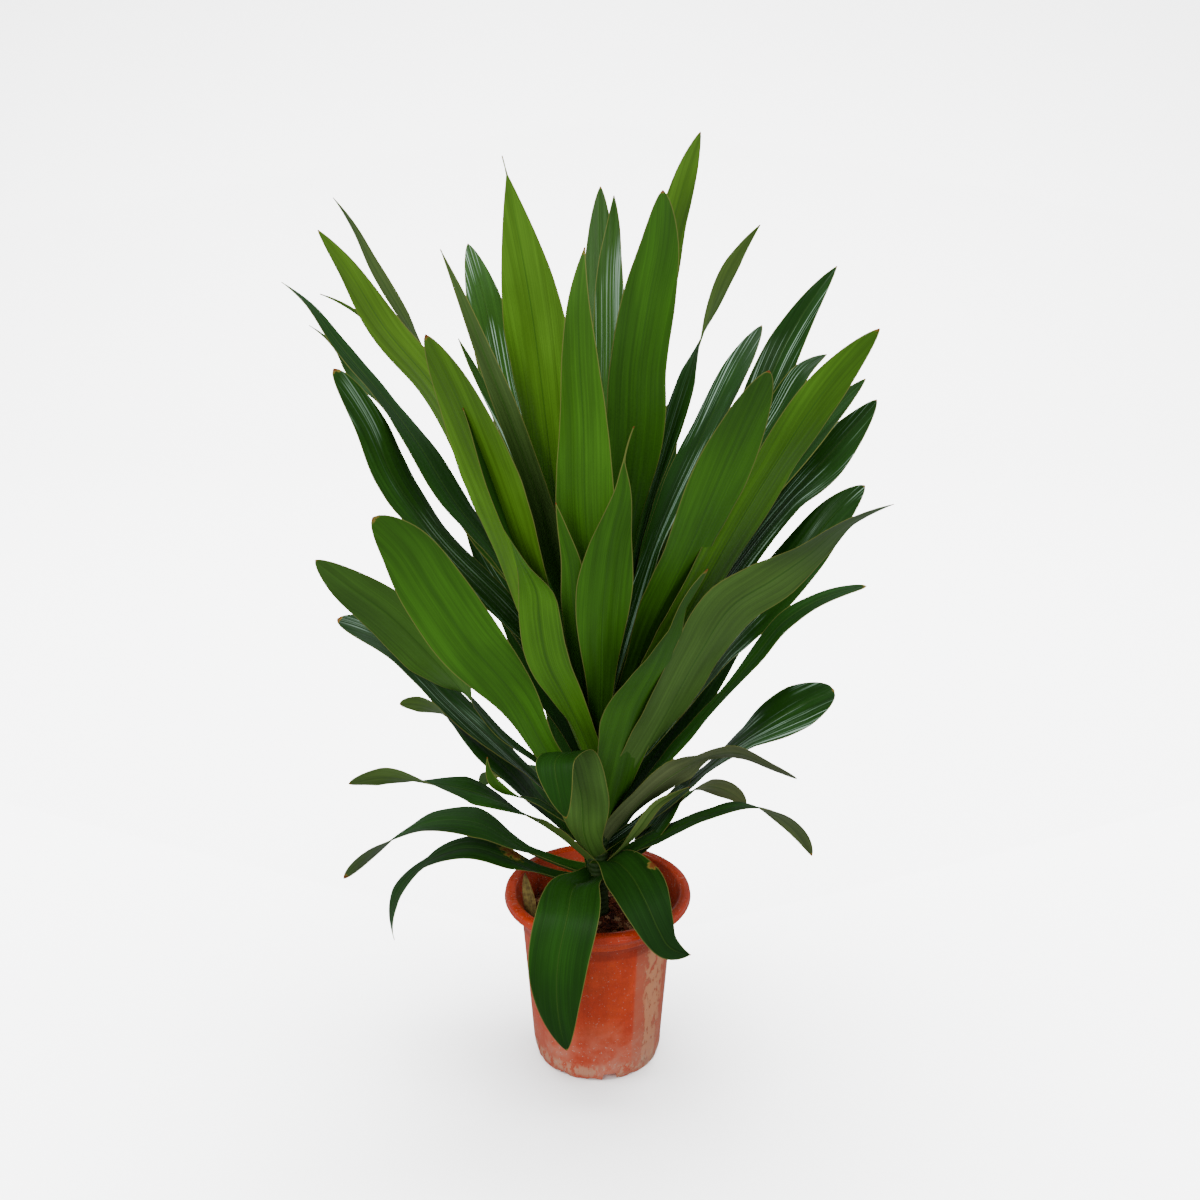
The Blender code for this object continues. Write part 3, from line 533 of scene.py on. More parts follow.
def leaf_surface(name, colours, roughness, specular, rib_depth, vein_share, midrib):
    """A leaf side: ribs and veins along it, painted highlight streaks, a painted grey sheen, a midrib, a
    margin and dried places.
    """
    dark, middle, light = colours
    made = Surface(name)
    along, across, seed = made.parts(made.attribute("place"))
    share, tone = made.parts(made.attribute("share"))[1:]
    edge, dry, finish = made.parts(made.attribute("wear"))
    gloss = made.math("MAXIMUM", finish, 0.0)
    sheen = made.math("MAXIMUM", made.times(finish, -1.0), 0.0)

    def grain(along_scale, across_scale, shift, detail=3.0):
        """Noise drawn out along the leaf."""
        first = made.times(along, along_scale)
        second = made.times(across, across_scale)
        third = made.plus(seed, shift)
        return made.noise(made.vector(first, second, third), 1.0, detail)

    ribs = grain(2.2, 230.0, 0.0, 2.0)
    veins = grain(9.0, 1150.0, 5.0, 2.0)
    clouds = grain(9.0, 38.0, 11.0)
    darker = made.mix(made.ramp(tone, -1.0, 0.0), dark, middle)
    colour = made.mix(made.ramp(tone, 0.0, 1.0), darker, light)
    # Painted sheen: grey olive laid over the undersides that the table names, in place of the light that
    # glances off them.
    colour = made.cover(colour, SHEEN_OLIVE, sheen, 0.75)
    colour = made.shade(colour, made.ramp(clouds, 0.25, 0.75, 0.80, 1.22))
    colour = made.shade(colour, made.ramp(ribs, 0.3, 0.7, 0.88, 1.14))
    colour = made.shade(colour, made.ramp(veins, 0.3, 0.7, 0.88, 1.13))
    colour = made.shade(colour, made.ramp(share, 0.60, 1.0, 1.0, 0.78))
    colour = made.shade(colour, made.math("SUBTRACT", 1.0, made.times(gloss, 0.10)))
    # Painted highlight: pale streaks of reflected light along the glossy upper sides, in patches where
    # the lit mask allows.
    lit = made.ramp(grain(10.0, 30.0, 29.0, 2.0), 0.42, 0.58)
    streaks = made.times(made.ramp(grain(2.0, 560.0, 23.0, 2.0), 0.56, 0.605), gloss)
    streaks = made.times(streaks, lit)
    colour = made.cover(colour, HIGHLIGHT_STREAK_GREEN, streaks, 0.9)

    off_middle = made.math("ABSOLUTE", across)
    rib_line = made.ramp(off_middle, 0.3 * MM, 1.1 * MM, 1.0, 0.0)
    rib_share = made.times(rib_line, made.ramp(share, 0.8, 1.0, 0.6, 0.0))
    colour = made.mix(rib_share, colour, midrib)

    margin = made.ramp(edge, 0.45 * MM, 1.0 * MM, 0.75, 0.0)
    colour = made.mix(margin, colour, (0.24, 0.25, 0.06))

    flecks = grain(260.0, 260.0, 17.0)
    dried = made.times(dry, made.ramp(flecks, 0.3, 0.7, 0.5, 1.3))
    yellowed = made.ramp(dried, 0.25, 0.50)
    browned = made.ramp(dried, 0.50, 0.70)
    colour = made.mix(yellowed, colour, (0.30, 0.22, 0.04))
    colour = made.mix(browned, colour, (0.26, 0.08, 0.02))
    rough = made.plus(roughness, made.ramp(clouds, 0.2, 0.8, -0.06, 0.08))
    rough = made.plus(rough, made.times(gloss, -0.20))
    rough = made.plus(rough, made.times(yellowed, 0.3))

    relief = made.plus(ribs, made.times(veins, vein_share))
    relief = made.plus(relief, made.times(rib_line, -0.35))
    return made.finish(colour, rough, made.bump(relief, rib_depth), specular)


def new_object(name, data):
    """An object with this data, linked to the scene."""
    made = bpy.data.objects.new(name, data)
    bpy.context.scene.collection.objects.link(made)
    return made


def store_vectors(mesh, **lists):
    """Keep a vector of each vertex under each of these names, for the materials to read."""
    for name, values in lists.items():
        layer = mesh.attributes.new(name, "FLOAT_VECTOR", "POINT")
        layer.data.foreach_set("vector", np.array(values, dtype=np.float32).ravel())


def smooth_path(points, stations):
    """A smooth curve through the points, read at these shares of its length."""
    points = np.asarray(points, float)
    chord = np.linalg.norm(np.diff(points, axis=0), axis=1)
    knots = np.concatenate([[0.0], np.cumsum(chord)])
    slope = np.gradient(points, knots, axis=0)
    slope[0] = 2 * (points[1] - points[0]) / chord[0] - slope[1]
    slope[-1] = 2 * (points[-1] - points[-2]) / chord[-1] - slope[-2]
    fine = np.linspace(0.0, knots[-1], PATH_SAMPLES)
    span = np.clip(np.searchsorted(knots, fine, side="right") - 1, 0, len(chord) - 1)
    length = chord[span][:, None]
    t = (fine - knots[span])[:, None] / length
    curve = (2 * t**3 - 3 * t**2 + 1) * points[span]
    curve += (t**3 - 2 * t**2 + t) * length * slope[span]
    curve += (3 * t**2 - 2 * t**3) * points[span + 1]
    curve += (t**3 - t**2) * length * slope[span + 1]
    run = np.concatenate([[0.0], np.cumsum(np.linalg.norm(np.diff(curve, axis=0), axis=1))])
    at = run[-1] * stations
    path = np.stack([np.interp(at, run, curve[:, axis]) for axis in range(3)], axis=1)
    share = np.interp(at, run, fine)
    return path, share, knots, run[-1]


def station_shares(segments):
    """Where a blade's stations lie along it, closer together toward the tip."""
    return 1 - (1 - np.linspace(0.0, 1.0, segments + 1)) ** TIP_CROWDING


def half_width(v, width, widest, point):
    """Half the blade's width at v along it, from 0 at the root to 1 at the tip."""
    rise = np.clip((v - widest) / SWELL_SHARE + 1, 0, 1)
    grow = NECK_SHARE + (1 - NECK_SHARE) * rise * rise * (3 - 2 * rise)
    past = np.clip((v - widest) / (1 - widest), 0, 1)
    fade = (1 - past ** (2.4 - 0.7 * point)) ** (0.6 + 0.35 * point)
    return grow * fade * width / 2


def blade_frames(points, rolls, side, shape, hair):
    """At each station of a blade: its place, its across and up directions and its half width."""
    stations = station_shares(ALONG)
    path, share, knots, length = smooth_path(points, stations)
    blade_end = 1 - hair / length
    roll = np.radians(np.interp(share, knots, rolls))
    tangent = np.gradient(path, axis=0)
    tangent /= np.linalg.norm(tangent, axis=1)[:, None]
    across = []
    ups = []
    halves = []
    for i, v in enumerate(stations):
        half = float(half_width(min(1.0, v / blade_end), *shape))
        from_axis = math.hypot(path[i][0], path[i][1])
        half = min(half, ROOT_HALF_WIDTH + ROOT_SPREAD * from_axis)
        halves.append(max(half, TIP_HALF_WIDTH))
        side = side - tangent[i] * (side @ tangent[i])
        side = side / np.linalg.norm(side)
        flat_up = np.cross(tangent[i], side)
        ups.append(flat_up * math.cos(roll[i]) + side * math.sin(roll[i]))
        across.append(side * math.cos(roll[i]) - flat_up * math.sin(roll[i]))
    return path, np.array(across), np.array(ups), np.array(halves), length


def draw_waves(draw):
    """The pace of the ripples on a blade's two edges, and then their four phases."""
    paces = [draw.uniform(0.8, 1.25) for _ in range(2)]
    return paces + [draw.uniform(0, TURN) for _ in range(4)]


def blade_height(x, v, half, length, phase, waves):
    """How far the blade's surface lies above its centre line at x across and v along."""
    keel = math.tan(RESTING_KEEL_ANGLE + KEEL_ANGLE * max(0.0, 1 - v / KEEL_LENGTH))
    rise = keel * (math.hypot(x, KEEL_ROUNDING) - KEEL_ROUNDING) * half
    rise -= ARCH * x * x * half * min(1.0, v / ARCH_START)
    swell = math.sin(math.pi * v)
    run = TURN * length * v
    rise += WAVE_HEIGHT * x * abs(x) * math.sin(run / WAVE_LENGTH + phase) * swell
    side = 1 if x > 0 else 0
    ripple = math.sin(run / RIPPLE_LENGTH * waves[side] + waves[2 + side])
    ripple *= 0.5 + 0.5 * math.sin(run / RIPPLE_BEAT * waves[side] + waves[4 + side])
    rise += RIPPLE_HEIGHT * abs(x) ** 3 * ripple * swell
    pleat = math.sin(PLEATS * math.pi * x + waves[2]) * (1 - abs(x) ** 3)
    return rise + PLEAT_HEIGHT * pleat * min(1.0, half / PLEAT_FULL_HALF) * swell


def patch_dryness(patch, v, x):
    """How dried a leaf is at this place on it, from the brown patch that it has, if any."""
    if patch is None:
        return 0.0
    middle_v, middle_x, reach_v, reach_x = patch
    return math.exp(-((v - middle_v) / reach_v) ** 2 - ((x - middle_x) / reach_x) ** 2)


def build_blade(name, frames, tones, finishes, dried, materials, phase, waves, seed):
    """A closed leaf blade: an upper and an under side, with a thin rim between them."""
    path, across, ups, halves, length = frames
    shares = station_shares(ALONG)
    gloss, sheen_share = finishes
    dry_tip, patch = dried
    stations = len(path)
    columns = ACROSS + 1
    vertices = []
    place = []
    share = []
    wear = []
    for layer, tone, finish in ((0.5, tones[0], gloss), (-0.5, tones[1], -sheen_share)):
        for i, v in enumerate(shares):
            for j in range(columns):
                x = 2 * j / ACROSS - 1
                rise = blade_height(x, v, halves[i], length, phase, waves)
                thick = BLADE_THICKNESS + (MARGIN_THICKNESS - BLADE_THICKNESS) * x * x
                spot = path[i] + across[i] * x * halves[i] + ups[i] * (rise + layer * thick)
                vertices.append(spot)
                place.append((length * v, x * halves[i], seed))
                share.append((x, v, tone))
                edge = (1 - abs(x)) * halves[i]
                from_tip = (1 - v) * length
                dryness = max(patch_dryness(patch, v, x), 1 - from_tip / (dry_tip * 1.5))
                wear.append((edge, dryness, finish))
    faces = []
    sides = []
    uvs = []

    def add(corners, side, spots):
        faces.append(corners)
        sides.append(side)
        uvs.extend(spots)

    under = stations * columns
    for i in range(stations - 1):
        for j in range(ACROSS):
            a = i * columns + j
            b = a + columns
            u0, u1 = 0.004 + 0.992 * i / (stations - 1), 0.004 + 0.992 * (i + 1) / (stations - 1)
            t0, t1 = 0.01 + 0.475 * j / ACROSS, 0.01 + 0.475 * (j + 1) / ACROSS
            add((a, b, b + 1, a + 1), 0, [(u0, t0), (u1, t0), (u1, t1), (u0, t1)])
            c, d = a + under, b + under
            s0, s1 = t0 + 0.5, t1 + 0.5
            add((c, c + 1, d + 1, d), 1, [(u0, s0), (u0, s1), (u1, s1), (u1, s0)])
        a = i * columns
        b = a + columns
        last = ACROSS
        low, high = (0.010, 0.012), (0.485, 0.483)
        add((a, a + under, b + under, b), 0, [(u0, low[0]), (u0, low[1]), (u1, low[1]), (u1, low[0])])
        add((a + last, b + last, b + last + under, a + last + under), 0,
            [(u0, high[0]), (u1, high[0]), (u1, high[1]), (u0, high[1])])
    for j in range(ACROSS):
        t0, t1 = 0.01 + 0.475 * j / ACROSS, 0.01 + 0.475 * (j + 1) / ACROSS
        add((j, j + 1, j + 1 + under, j + under), 0, [(0.004, t0), (0.004, t1), (0.006, t1), (0.006, t0)])
        e = (stations - 1) * columns + j
        add((e, e + under, e + 1 + under, e + 1), 0, [(0.996, t0), (0.994, t0), (0.994, t1), (0.996, t1)])

    mesh = bpy.data.meshes.new(name)
    mesh.from_pydata([tuple(v) for v in vertices], [], faces)
    for surface in materials:
        mesh.materials.append(surface)
    mesh.polygons.foreach_set("material_index", sides)
    layer = mesh.uv_layers.new(name="OFBake")
    layer.uv.foreach_set("vector", np.array(uvs, dtype=np.float32).ravel())
    store_vectors(mesh, place=place, share=share, wear=wear)
    mesh.shade_smooth()
    mesh.set_sharp_from_angle(angle=math.radians(50))
    return new_object(name, mesh)


def build_leaves(materials):
    """Every leaf, each a piece of its own that rides with the plant."""
    draw = random.Random(LEAF_SEED)
    for name, base, width, widest, point, line in LEAVES:
        points = [(0.0, 0.0, base * MM)]
        rolls = [0]
        for azimuth, reach, height, roll in line + TIP_HAIRS.get(name, []):
            turn = math.radians(azimuth)
            points.append((reach * MM * math.cos(turn), reach * MM * math.sin(turn), height * MM))
            rolls.append(roll)
        turn = math.radians(line[0][0])
        side = np.array([-math.sin(turn), math.cos(turn), 0.0])
        hair = math.dist(points[-2], points[-1]) if name in TIP_HAIRS else 0.0
        frames = blade_frames(points, rolls, side, (width * MM, widest, point), hair)
        waves = draw_waves(draw)
        seed = draw.uniform(0, 40)
        shift = draw.uniform(-0.12, 0.12)
        tones = [tone + shift for tone in TONES.get(name, (0.0, 0.0))]
        dried = (DRY_TIPS.get(name, USUAL_DRY_TIP) * MM, DRY_PATCHES.get(name))
        phase = sum(ord(letter) for letter in name)
        finishes = (GLOSS.get(name, 0.0), SHEEN_SHARES.get(name, 0.0))
        leaf = build_blade("leaf_" + name, frames, tones, finishes, dried, materials, phase, waves, seed)
        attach(leaf, "root")
        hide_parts("plant")


def rounded_outline(corners, steps):
    """An outline with its corners rounded. Each corner is radius, height, facet share and fillet."""
    outline = []
    for i, (radius, height, share, fillet) in enumerate(corners):
        here = np.array([radius, height, share], float)
        if fillet == 0 or i in (0, len(corners) - 1):
            outline.append(here)
            continue
        before = np.array(corners[i - 1][:3], float) - here
        after = np.array(corners[i + 1][:3], float) - here
        start = before * min(0.45, fillet / np.hypot(before[0], before[1]))
        end = after * min(0.45, fillet / np.hypot(after[0], after[1]))
        for step in range(steps + 1):
            t = step / steps
            outline.append(here + start * (1 - t) ** 2 + end * t ** 2)
    return outline


def with_rows(outline, longest):
    """The outline with its long stretches cut into rows no longer than this."""
    rows = [outline[0]]
    for here in outline[1:]:
        last = rows[-1]
        run = np.hypot(here[0] - last[0], here[1] - last[1])
        count = max(1, math.ceil(run / longest))
        rows.extend(last + (here - last) * step / count for step in range(1, count + 1))
    return rows


def facet_scale(azimuth, share):
    """How far the pot's ten flat sides pull in from their corners at this azimuth."""
    step = TURN / FACETS
    from_middle = (azimuth - FACET_CORNER_AZIMUTH) % step - step / 2
    flat = math.cos(step / 2) / math.cos(from_middle)
    return 1 - share * FACET_FLATNESS * (1 - flat)


def turned(name, rows, sides, move=None):
    """A closed turned mesh from rows of radius, height and facet share, bottom pole to top pole."""
    vertices = []
    rings = []
    for radius, height, share in rows:
        if radius == 0:
            rings.append([len(vertices)])
            vertices.append(Vector((0.0, 0.0, height)))
            continue
        rings.append(list(range(len(vertices), len(vertices) + sides)))
        for k in range(sides):
            azimuth = FACET_CORNER_AZIMUTH + TURN * k / sides
            reach = radius * facet_scale(azimuth, share)
            spot = Vector((reach * math.cos(azimuth), reach * math.sin(azimuth), height))
            vertices.append(move(spot) if move else spot)
    faces = []
    for low, high in zip(rings, rings[1:]):
        for k in range(sides):
            after = (k + 1) % sides
            if len(low) == 1:
                faces.append((low[0], high[after], high[k]))
            elif len(high) == 1:
                faces.append((low[k], low[after], high[0]))
            else:
                faces.append((low[k], low[after], high[after], high[k]))
    mesh = bpy.data.meshes.new(name)
    mesh.from_pydata(vertices, [], faces)
    return new_object(name, mesh)


def wrap(made, rows):
    """A bake map for a turned piece: round it one way, and along its outline the other way."""
    outline = np.array([[row[0], row[1]] for row in rows])
    run = np.concatenate([[0.0], np.cumsum(np.linalg.norm(np.diff(outline, axis=0), axis=1))])
    mesh = made.data
    spots = np.array([vertex.co for vertex in mesh.vertices])
    reach = np.hypot(spots[:, 0], spots[:, 1])
    far = np.hypot(reach[:, None] - outline[None, :, 0], spots[:, None, 2] - outline[None, :, 1])
    down = run[np.argmin(far, axis=1)] / run[-1]
    round_it = ((np.arctan2(spots[:, 1], spots[:, 0]) - FACET_CORNER_AZIMUTH) / TURN) % 1.0
    layer = mesh.uv_layers.new(name="OFBake")
    for face in mesh.polygons:
        middle = (math.atan2(face.center.y, face.center.x) - FACET_CORNER_AZIMUTH) / TURN % 1.0
        for loop in face.loop_indices:
            vertex = mesh.loops[loop].vertex_index
            across = middle + (round_it[vertex] - middle + 0.5) % 1.0 - 0.5
            if reach[vertex] < 1e-6:
                across = middle
            layer.uv[loop].vector = (0.002 + 0.996 * across, 0.002 + 0.996 * down[vertex])


def take(made, surface, node, sharp):
    """Give a piece its material and its place in the frame, with edges over this angle sharp."""
    made.data.materials.clear()
    made.data.materials.append(surface)
    made.data.shade_smooth()
    made.data.set_sharp_from_angle(angle=math.radians(sharp))
    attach(made, "root")
    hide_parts(node)


def cut(target, tools):
    """Cut the tools from the target and remove them."""
    group = bpy.data.collections.new("tools")
    bpy.context.scene.collection.children.link(group)
    for tool in tools:
        bpy.context.scene.collection.objects.unlink(tool)
        group.objects.link(tool)
    modifier = target.modifiers.new("cut", "BOOLEAN")
    modifier.operation = "DIFFERENCE"
    modifier.operand_type = "COLLECTION"
    modifier.collection = group
    modifier.solver = "EXACT"
    graph = bpy.context.evaluated_depsgraph_get()
    result = bpy.data.meshes.new_from_object(target.evaluated_get(graph))
    target.modifiers.clear()
    target.data = result
    for tool in tools:
        bpy.data.objects.remove(tool, do_unlink=True)
    bpy.data.collections.remove(group)


def notch_tool(azimuth):
    """A block that cuts one drainage notch through the foot ring."""
    along = Vector((math.cos(azimuth), math.sin(azimuth), 0))
    across = Vector((-math.sin(azimuth), math.cos(azimuth), 0))
    inner, outer = BASE_RADIUS - 8.5 * MM, BASE_RADIUS + 4 * MM
    corners = []
    for height, half in ((-2 * MM, NOTCH_WIDTH / 2), (NOTCH_HEIGHT, 0.4 * NOTCH_WIDTH)):
        for reach, side in ((inner, -half), (outer, -half), (outer, half), (inner, half)):
            corners.append(along * reach + across * side + Vector((0, 0, height)))
    faces = [(3, 2, 1, 0), (4, 5, 6, 7), (0, 1, 5, 4), (1, 2, 6, 5), (2, 3, 7, 6), (3, 0, 4, 7)]
    mesh = bpy.data.meshes.new("notch_tool")
    mesh.from_pydata(corners, [], faces)
    return new_object("notch_tool", mesh)


def drain_tool(azimuth):
    """A peg that cuts one drain hole through the pot's floor."""
    mesh = bpy.data.meshes.new("drain_tool")
    shape = bmesh.new()
    place = (DRAIN_RING_RADIUS * math.cos(azimuth), DRAIN_RING_RADIUS * math.sin(azimuth), 6 * MM)
    bmesh.ops.create_cone(shape, cap_ends=True, segments=32, radius1=DRAIN_RADIUS,
                          radius2=DRAIN_RADIUS, depth=16 * MM, matrix=Matrix.Translation(place))
    shape.to_mesh(mesh)
    shape.free()
    return new_object("drain_tool", mesh)


def inner_radius(height):
    """The radius of the pot's inner wall between its floor and its neck."""
    rise = (height - FOOT_STEP_HEIGHT) / (SHOULDER_HEIGHT - FOOT_STEP_HEIGHT)
    return BODY_FOOT_RADIUS - WALL + rise * (BODY_TOP_RADIUS - BODY_FOOT_RADIUS)


def pot_corners():
    """The pot's outline from the middle of its underside, up its outside and down its inside."""
    rim = POT_RIM_DIAMETER / 2
    top = POT_HEIGHT
    floor = CHANNEL_DEPTH + FLOOR
    foot_inside = BASE_RADIUS - WALL
    step = FOOT_STEP_HEIGHT
    return [
        (0, 0, 0, 0),
        (PAD_RADIUS, 0, 0, 0.8 * MM),
        (PAD_RADIUS + 1 * MM, CHANNEL_DEPTH, 0, 0.8 * MM),
        (BASE_RADIUS - 6 * MM, CHANNEL_DEPTH, 0, 0.8 * MM),
        (BASE_RADIUS - 5 * MM, 0, 0, 0.7 * MM),
        (BASE_RADIUS, 0, 0, 1.0 * MM),
        (BASE_RADIUS + 2.2 * MM, step - 10 * MM, 0, 3.0 * MM),
        (BODY_FOOT_RADIUS, step, 1, 2.0 * MM),
        (BODY_TOP_RADIUS, SHOULDER_HEIGHT - 2 * MM, 1, 2.0 * MM),
        (BODY_TOP_RADIUS - 0.9 * MM, SHOULDER_HEIGHT, 0, 1.0 * MM),
        (BODY_TOP_RADIUS + 0.4 * MM, top - COLLAR_DROP - 2 * MM, 0, 1.0 * MM),
        (BODY_TOP_RADIUS + COLLAR_REACH, top - COLLAR_DROP, 0, 1.2 * MM),
        (BODY_TOP_RADIUS + COLLAR_REACH + 0.6 * MM, top - COLLAR_DROP + 5 * MM, 0, 1.5 * MM),
        (rim - 9 * MM, top - 13 * MM, 0, 2.0 * MM),
        (rim - 1.5 * MM, top - 10 * MM, 0, 1.5 * MM),
        (rim, top - 6.8 * MM, 0, 1.8 * MM),
        (rim - 1.2 * MM, top - 4.4 * MM, 0, 1.0 * MM),
        (rim - 0.9 * MM, top - 2 * MM, 0, 1.0 * MM),
        (rim - 3 * MM, top - 0.3 * MM, 0, 1.2 * MM),
        (rim - 7 * MM, top, 0, 2.0 * MM),
        (rim - 11.5 * MM, top - 1 * MM, 0, 2.0 * MM),
        (rim - 13.2 * MM, top - 4 * MM, 0, 1.5 * MM),
        (rim - 17.5 * MM, top - 12 * MM, 0, 2.0 * MM),
        (rim - 19.4 * MM, top - 17 * MM, 0, 2.0 * MM),
        (inner_radius(SHOULDER_HEIGHT), SHOULDER_HEIGHT, 1, 1.0 * MM),
        (inner_radius(step), step, 1, 1.5 * MM),
        (foot_inside, step - 4 * MM, 0, 1.5 * MM),
        (foot_inside, floor, 0, 1.0 * MM),
        (PAD_RADIUS - 2 * MM, floor, 0, 1.0 * MM),
        (PAD_RADIUS - 3 * MM, FLOOR, 0, 1.0 * MM),
        (0, FLOOR, 0, 0),
    ]


def worn_foot(spot):
    """Where a point of the pot goes: the foot's lower edge is chipped and rubbed, never lower."""
    reach = math.hypot(spot.x, spot.y)
    if reach < BASE_RADIUS - 7 * MM or spot.z > FOOT_WEAR_TOP:
        return spot
    azimuth = math.atan2(spot.y, spot.x)
    ring = Vector((math.cos(azimuth), math.sin(azimuth), 0))
    broad = max(0.0, noise.noise(ring * 5.5 + Vector((3.1, 0, 0))))
    fine = noise.noise(ring * 21 + Vector((0, 7.7, 0))) * 0.5 + noise.noise(ring * 47) * 0.3
    rise = FOOT_WEAR_RISE * max(0.0, 1.3 * broad + broad * fine * 2)
    spot.z += rise * (1 - spot.z / FOOT_WEAR_TOP)
    return spot


def wall_middle(azimuth, height):
    """The radius of the middle of the pot's wall, which parts its inside from its outside."""
    if height < FOOT_STEP_HEIGHT:
        return BASE_RADIUS - WALL / 2
    if height > POT_HEIGHT - RIM_BAND:
        return POT_RIM_DIAMETER / 2 - RIM_INSET
    faceted = 1 if FOOT_STEP_HEIGHT < height < SHOULDER_HEIGHT - 1 * MM else 0
    middle = inner_radius(min(height, SHOULDER_HEIGHT)) + WALL / 2
    return middle * facet_scale(azimuth, faceted)


def build_pot(surface):
    """The nursery pot with rounded edges, ten flat sides, a worn foot, notches and drain holes."""
    rows = with_rows(rounded_outline(pot_corners(), 4), 3.2 * MM)
    pot = turned("pot_shell", rows, POT_SIDES, worn_foot)
    cut(pot, [notch_tool(azimuth) for azimuth in NOTCH_AZIMUTHS]
        + [drain_tool(azimuth) for azimuth in DRAIN_AZIMUTHS])
    wrap(pot, rows)
    inside = []
    for vertex in pot.data.vertices:
        reach = math.hypot(vertex.co.x, vertex.co.y)
        height = min(vertex.co.z, POT_HEIGHT)
        wall = wall_middle(math.atan2(vertex.co.y, vertex.co.x), height)
        inside.append(1.0 if reach < wall and height > INSIDE_FLOOR else 0.0)
    layer = pot.data.attributes.new("inside", "FLOAT", "POINT")
    layer.data.foreach_set("value", np.array(inside, dtype=np.float32))
    take(pot, surface, "pot", 40)


def pot_surface():
    """Old terracotta-coloured plastic: faded, scaled and scratched, dusty and crusted at its foot, with
    painted shade under its collar and a darker inside towards the soil.
    """
    made = Surface("pot_plastic_worn")
    place = made.place()
    x, y, z = made.parts(place)
    azimuth = made.math("ARCTAN2", y, x)
    inside = made.node("ShaderNodeAttribute", {}, attribute_name="inside").outputs["Fac"]
    around = made.vector(made.times(azimuth, 0.075), 0.0, made.times(z, 0.16))
    broad = made.noise(place, 26.0, 3.0)
    cloud = made.noise(place, 90.0, 4.0, 0.6)
    grain = made.noise(place, 900.0, 2.0)
    streaks = made.noise(around, 420.0, 3.0)
    colour = made.mix(made.ramp(broad, 0.3, 0.7), (0.76, 0.062, 0.013), (0.86, 0.092, 0.018))
    colour = made.shade(colour, made.ramp(streaks, 0.25, 0.75, 0.95, 1.04))
    colour = made.shade(colour, made.ramp(cloud, 0.25, 0.75, 0.88, 1.12))
    colour = made.shade(colour, made.ramp(grain, 0.3, 0.7, 0.95, 1.05))

    above_foot = made.ramp(z, 150 * MM, 160 * MM, 1.0, 0.0)
    sunny = made.times(made.band(azimuth, *SUNNY_SIDE), above_foot)
    faded = made.times(sunny, made.ramp(cloud, 0.25, 0.75, 0.55, 0.95))
    colour = made.mix(faded, colour, (0.72, 0.18, 0.095))
    scale_place = made.vector(made.times(azimuth, 0.075), made.times(z, 0.45), 0.3)
    crust = made.noise(scale_place, 150.0, 5.0, 0.65)
    crust_zone = made.times(made.band(azimuth, *CRUSTED_SIDE), above_foot)
    crust = made.plus(crust, made.times(crust_zone, 0.20))
    crust = made.times(made.ramp(crust, 0.60, 0.66), crust_zone)
    colour = made.cover(colour, (0.92, 0.40, 0.19), crust, 0.85)

    low = made.ramp(z, 6 * MM, 84 * MM, 1.0, 0.0)
    dusty = made.times(low, made.ramp(cloud, 0.30, 0.70, 0.25, 1.0))
    dust_colour = made.mix(made.ramp(broad, 0.35, 0.65), (0.62, 0.14, 0.075), (0.74, 0.33, 0.23))
    colour = made.cover(colour, dust_colour, dusty, 0.85)
    earth = made.times(made.ramp(z, 2 * MM, 9 * MM, 1.0, 0.0), made.ramp(cloud, 0.42, 0.62))
    colour = made.cover(colour, (0.62, 0.33, 0.20), earth, 0.45)

    tide = made.band(z, 3 * MM, 8 * MM, 14 * MM, 22 * MM)
    tide = made.times(tide, made.ramp(made.noise(scale_place, 120.0, 5.0, 0.7), 0.47, 0.53))
    colour = made.cover(colour, (0.82, 0.47, 0.29), tide, 0.6)

    # Painted shade: a dark red band under the collar, on the outside only.
    neck = made.band(z, 146 * MM, 150 * MM, 161 * MM, 163 * MM)
    neck = made.times(neck, made.math("SUBTRACT", 1.0, inside))
    colour = made.cover(colour, (0.34, 0.025, 0.008), neck, 0.5)
    rim = made.ramp(z, 174 * MM, 178 * MM)
    colour = made.cover(colour, (0.72, 0.056, 0.018), rim, 0.6)
    scratch_place = made.vector(made.times(azimuth, 0.012), 0.0, made.times(z, 1.6))
    scratches = made.ramp(made.noise(scratch_place, 620.0, 3.0, 0.6), 0.60, 0.68)
    scratches = made.times(scratches, made.ramp(z, 158 * MM, 164 * MM))
    scratches = made.times(scratches, made.ramp(cloud, 0.40, 0.60))
    colour = made.cover(colour, (0.84, 0.46, 0.34), scratches, 0.55)
    # The inside wall is darker and browner towards the soil, in clouds.
    inside_darkening = made.ramp(z, 158 * MM, 182 * MM, 1.0, 0.15)
    inside_darkening = made.times(inside_darkening, made.ramp(cloud, 0.3, 0.7, 0.35, 1.0))
    colour = made.cover(colour, (0.17, 0.028, 0.012), inside, inside_darkening)
    specks = made.noise(place, 420.0, 2.0, 0.7)
    more = made.plus(made.times(inside, 0.03), made.times(low, 0.03))
    specks = made.ramp(made.plus(specks, more), 0.665, 0.705)
    colour = made.cover(colour, (0.80, 0.55, 0.42), specks, 0.65)

    rough = made.plus(0.34, made.times(dusty, 0.35))
    rough = made.plus(rough, made.times(faded, 0.22))
    rough = made.plus(rough, made.times(inside, 0.25))
    rough = made.plus(rough, made.times(rim, -0.06))
    rough = made.plus(rough, made.ramp(cloud, 0.25, 0.75, -0.05, 0.07))
    relief = made.plus(made.times(cloud, 0.35), made.times(grain, 0.05))
    relief = made.plus(relief, made.times(crust, 1.1))
    relief = made.plus(relief, made.times(earth, 0.5))
    return made.finish(colour, rough, made.bump(relief, 0.5 * MM), 0.35)


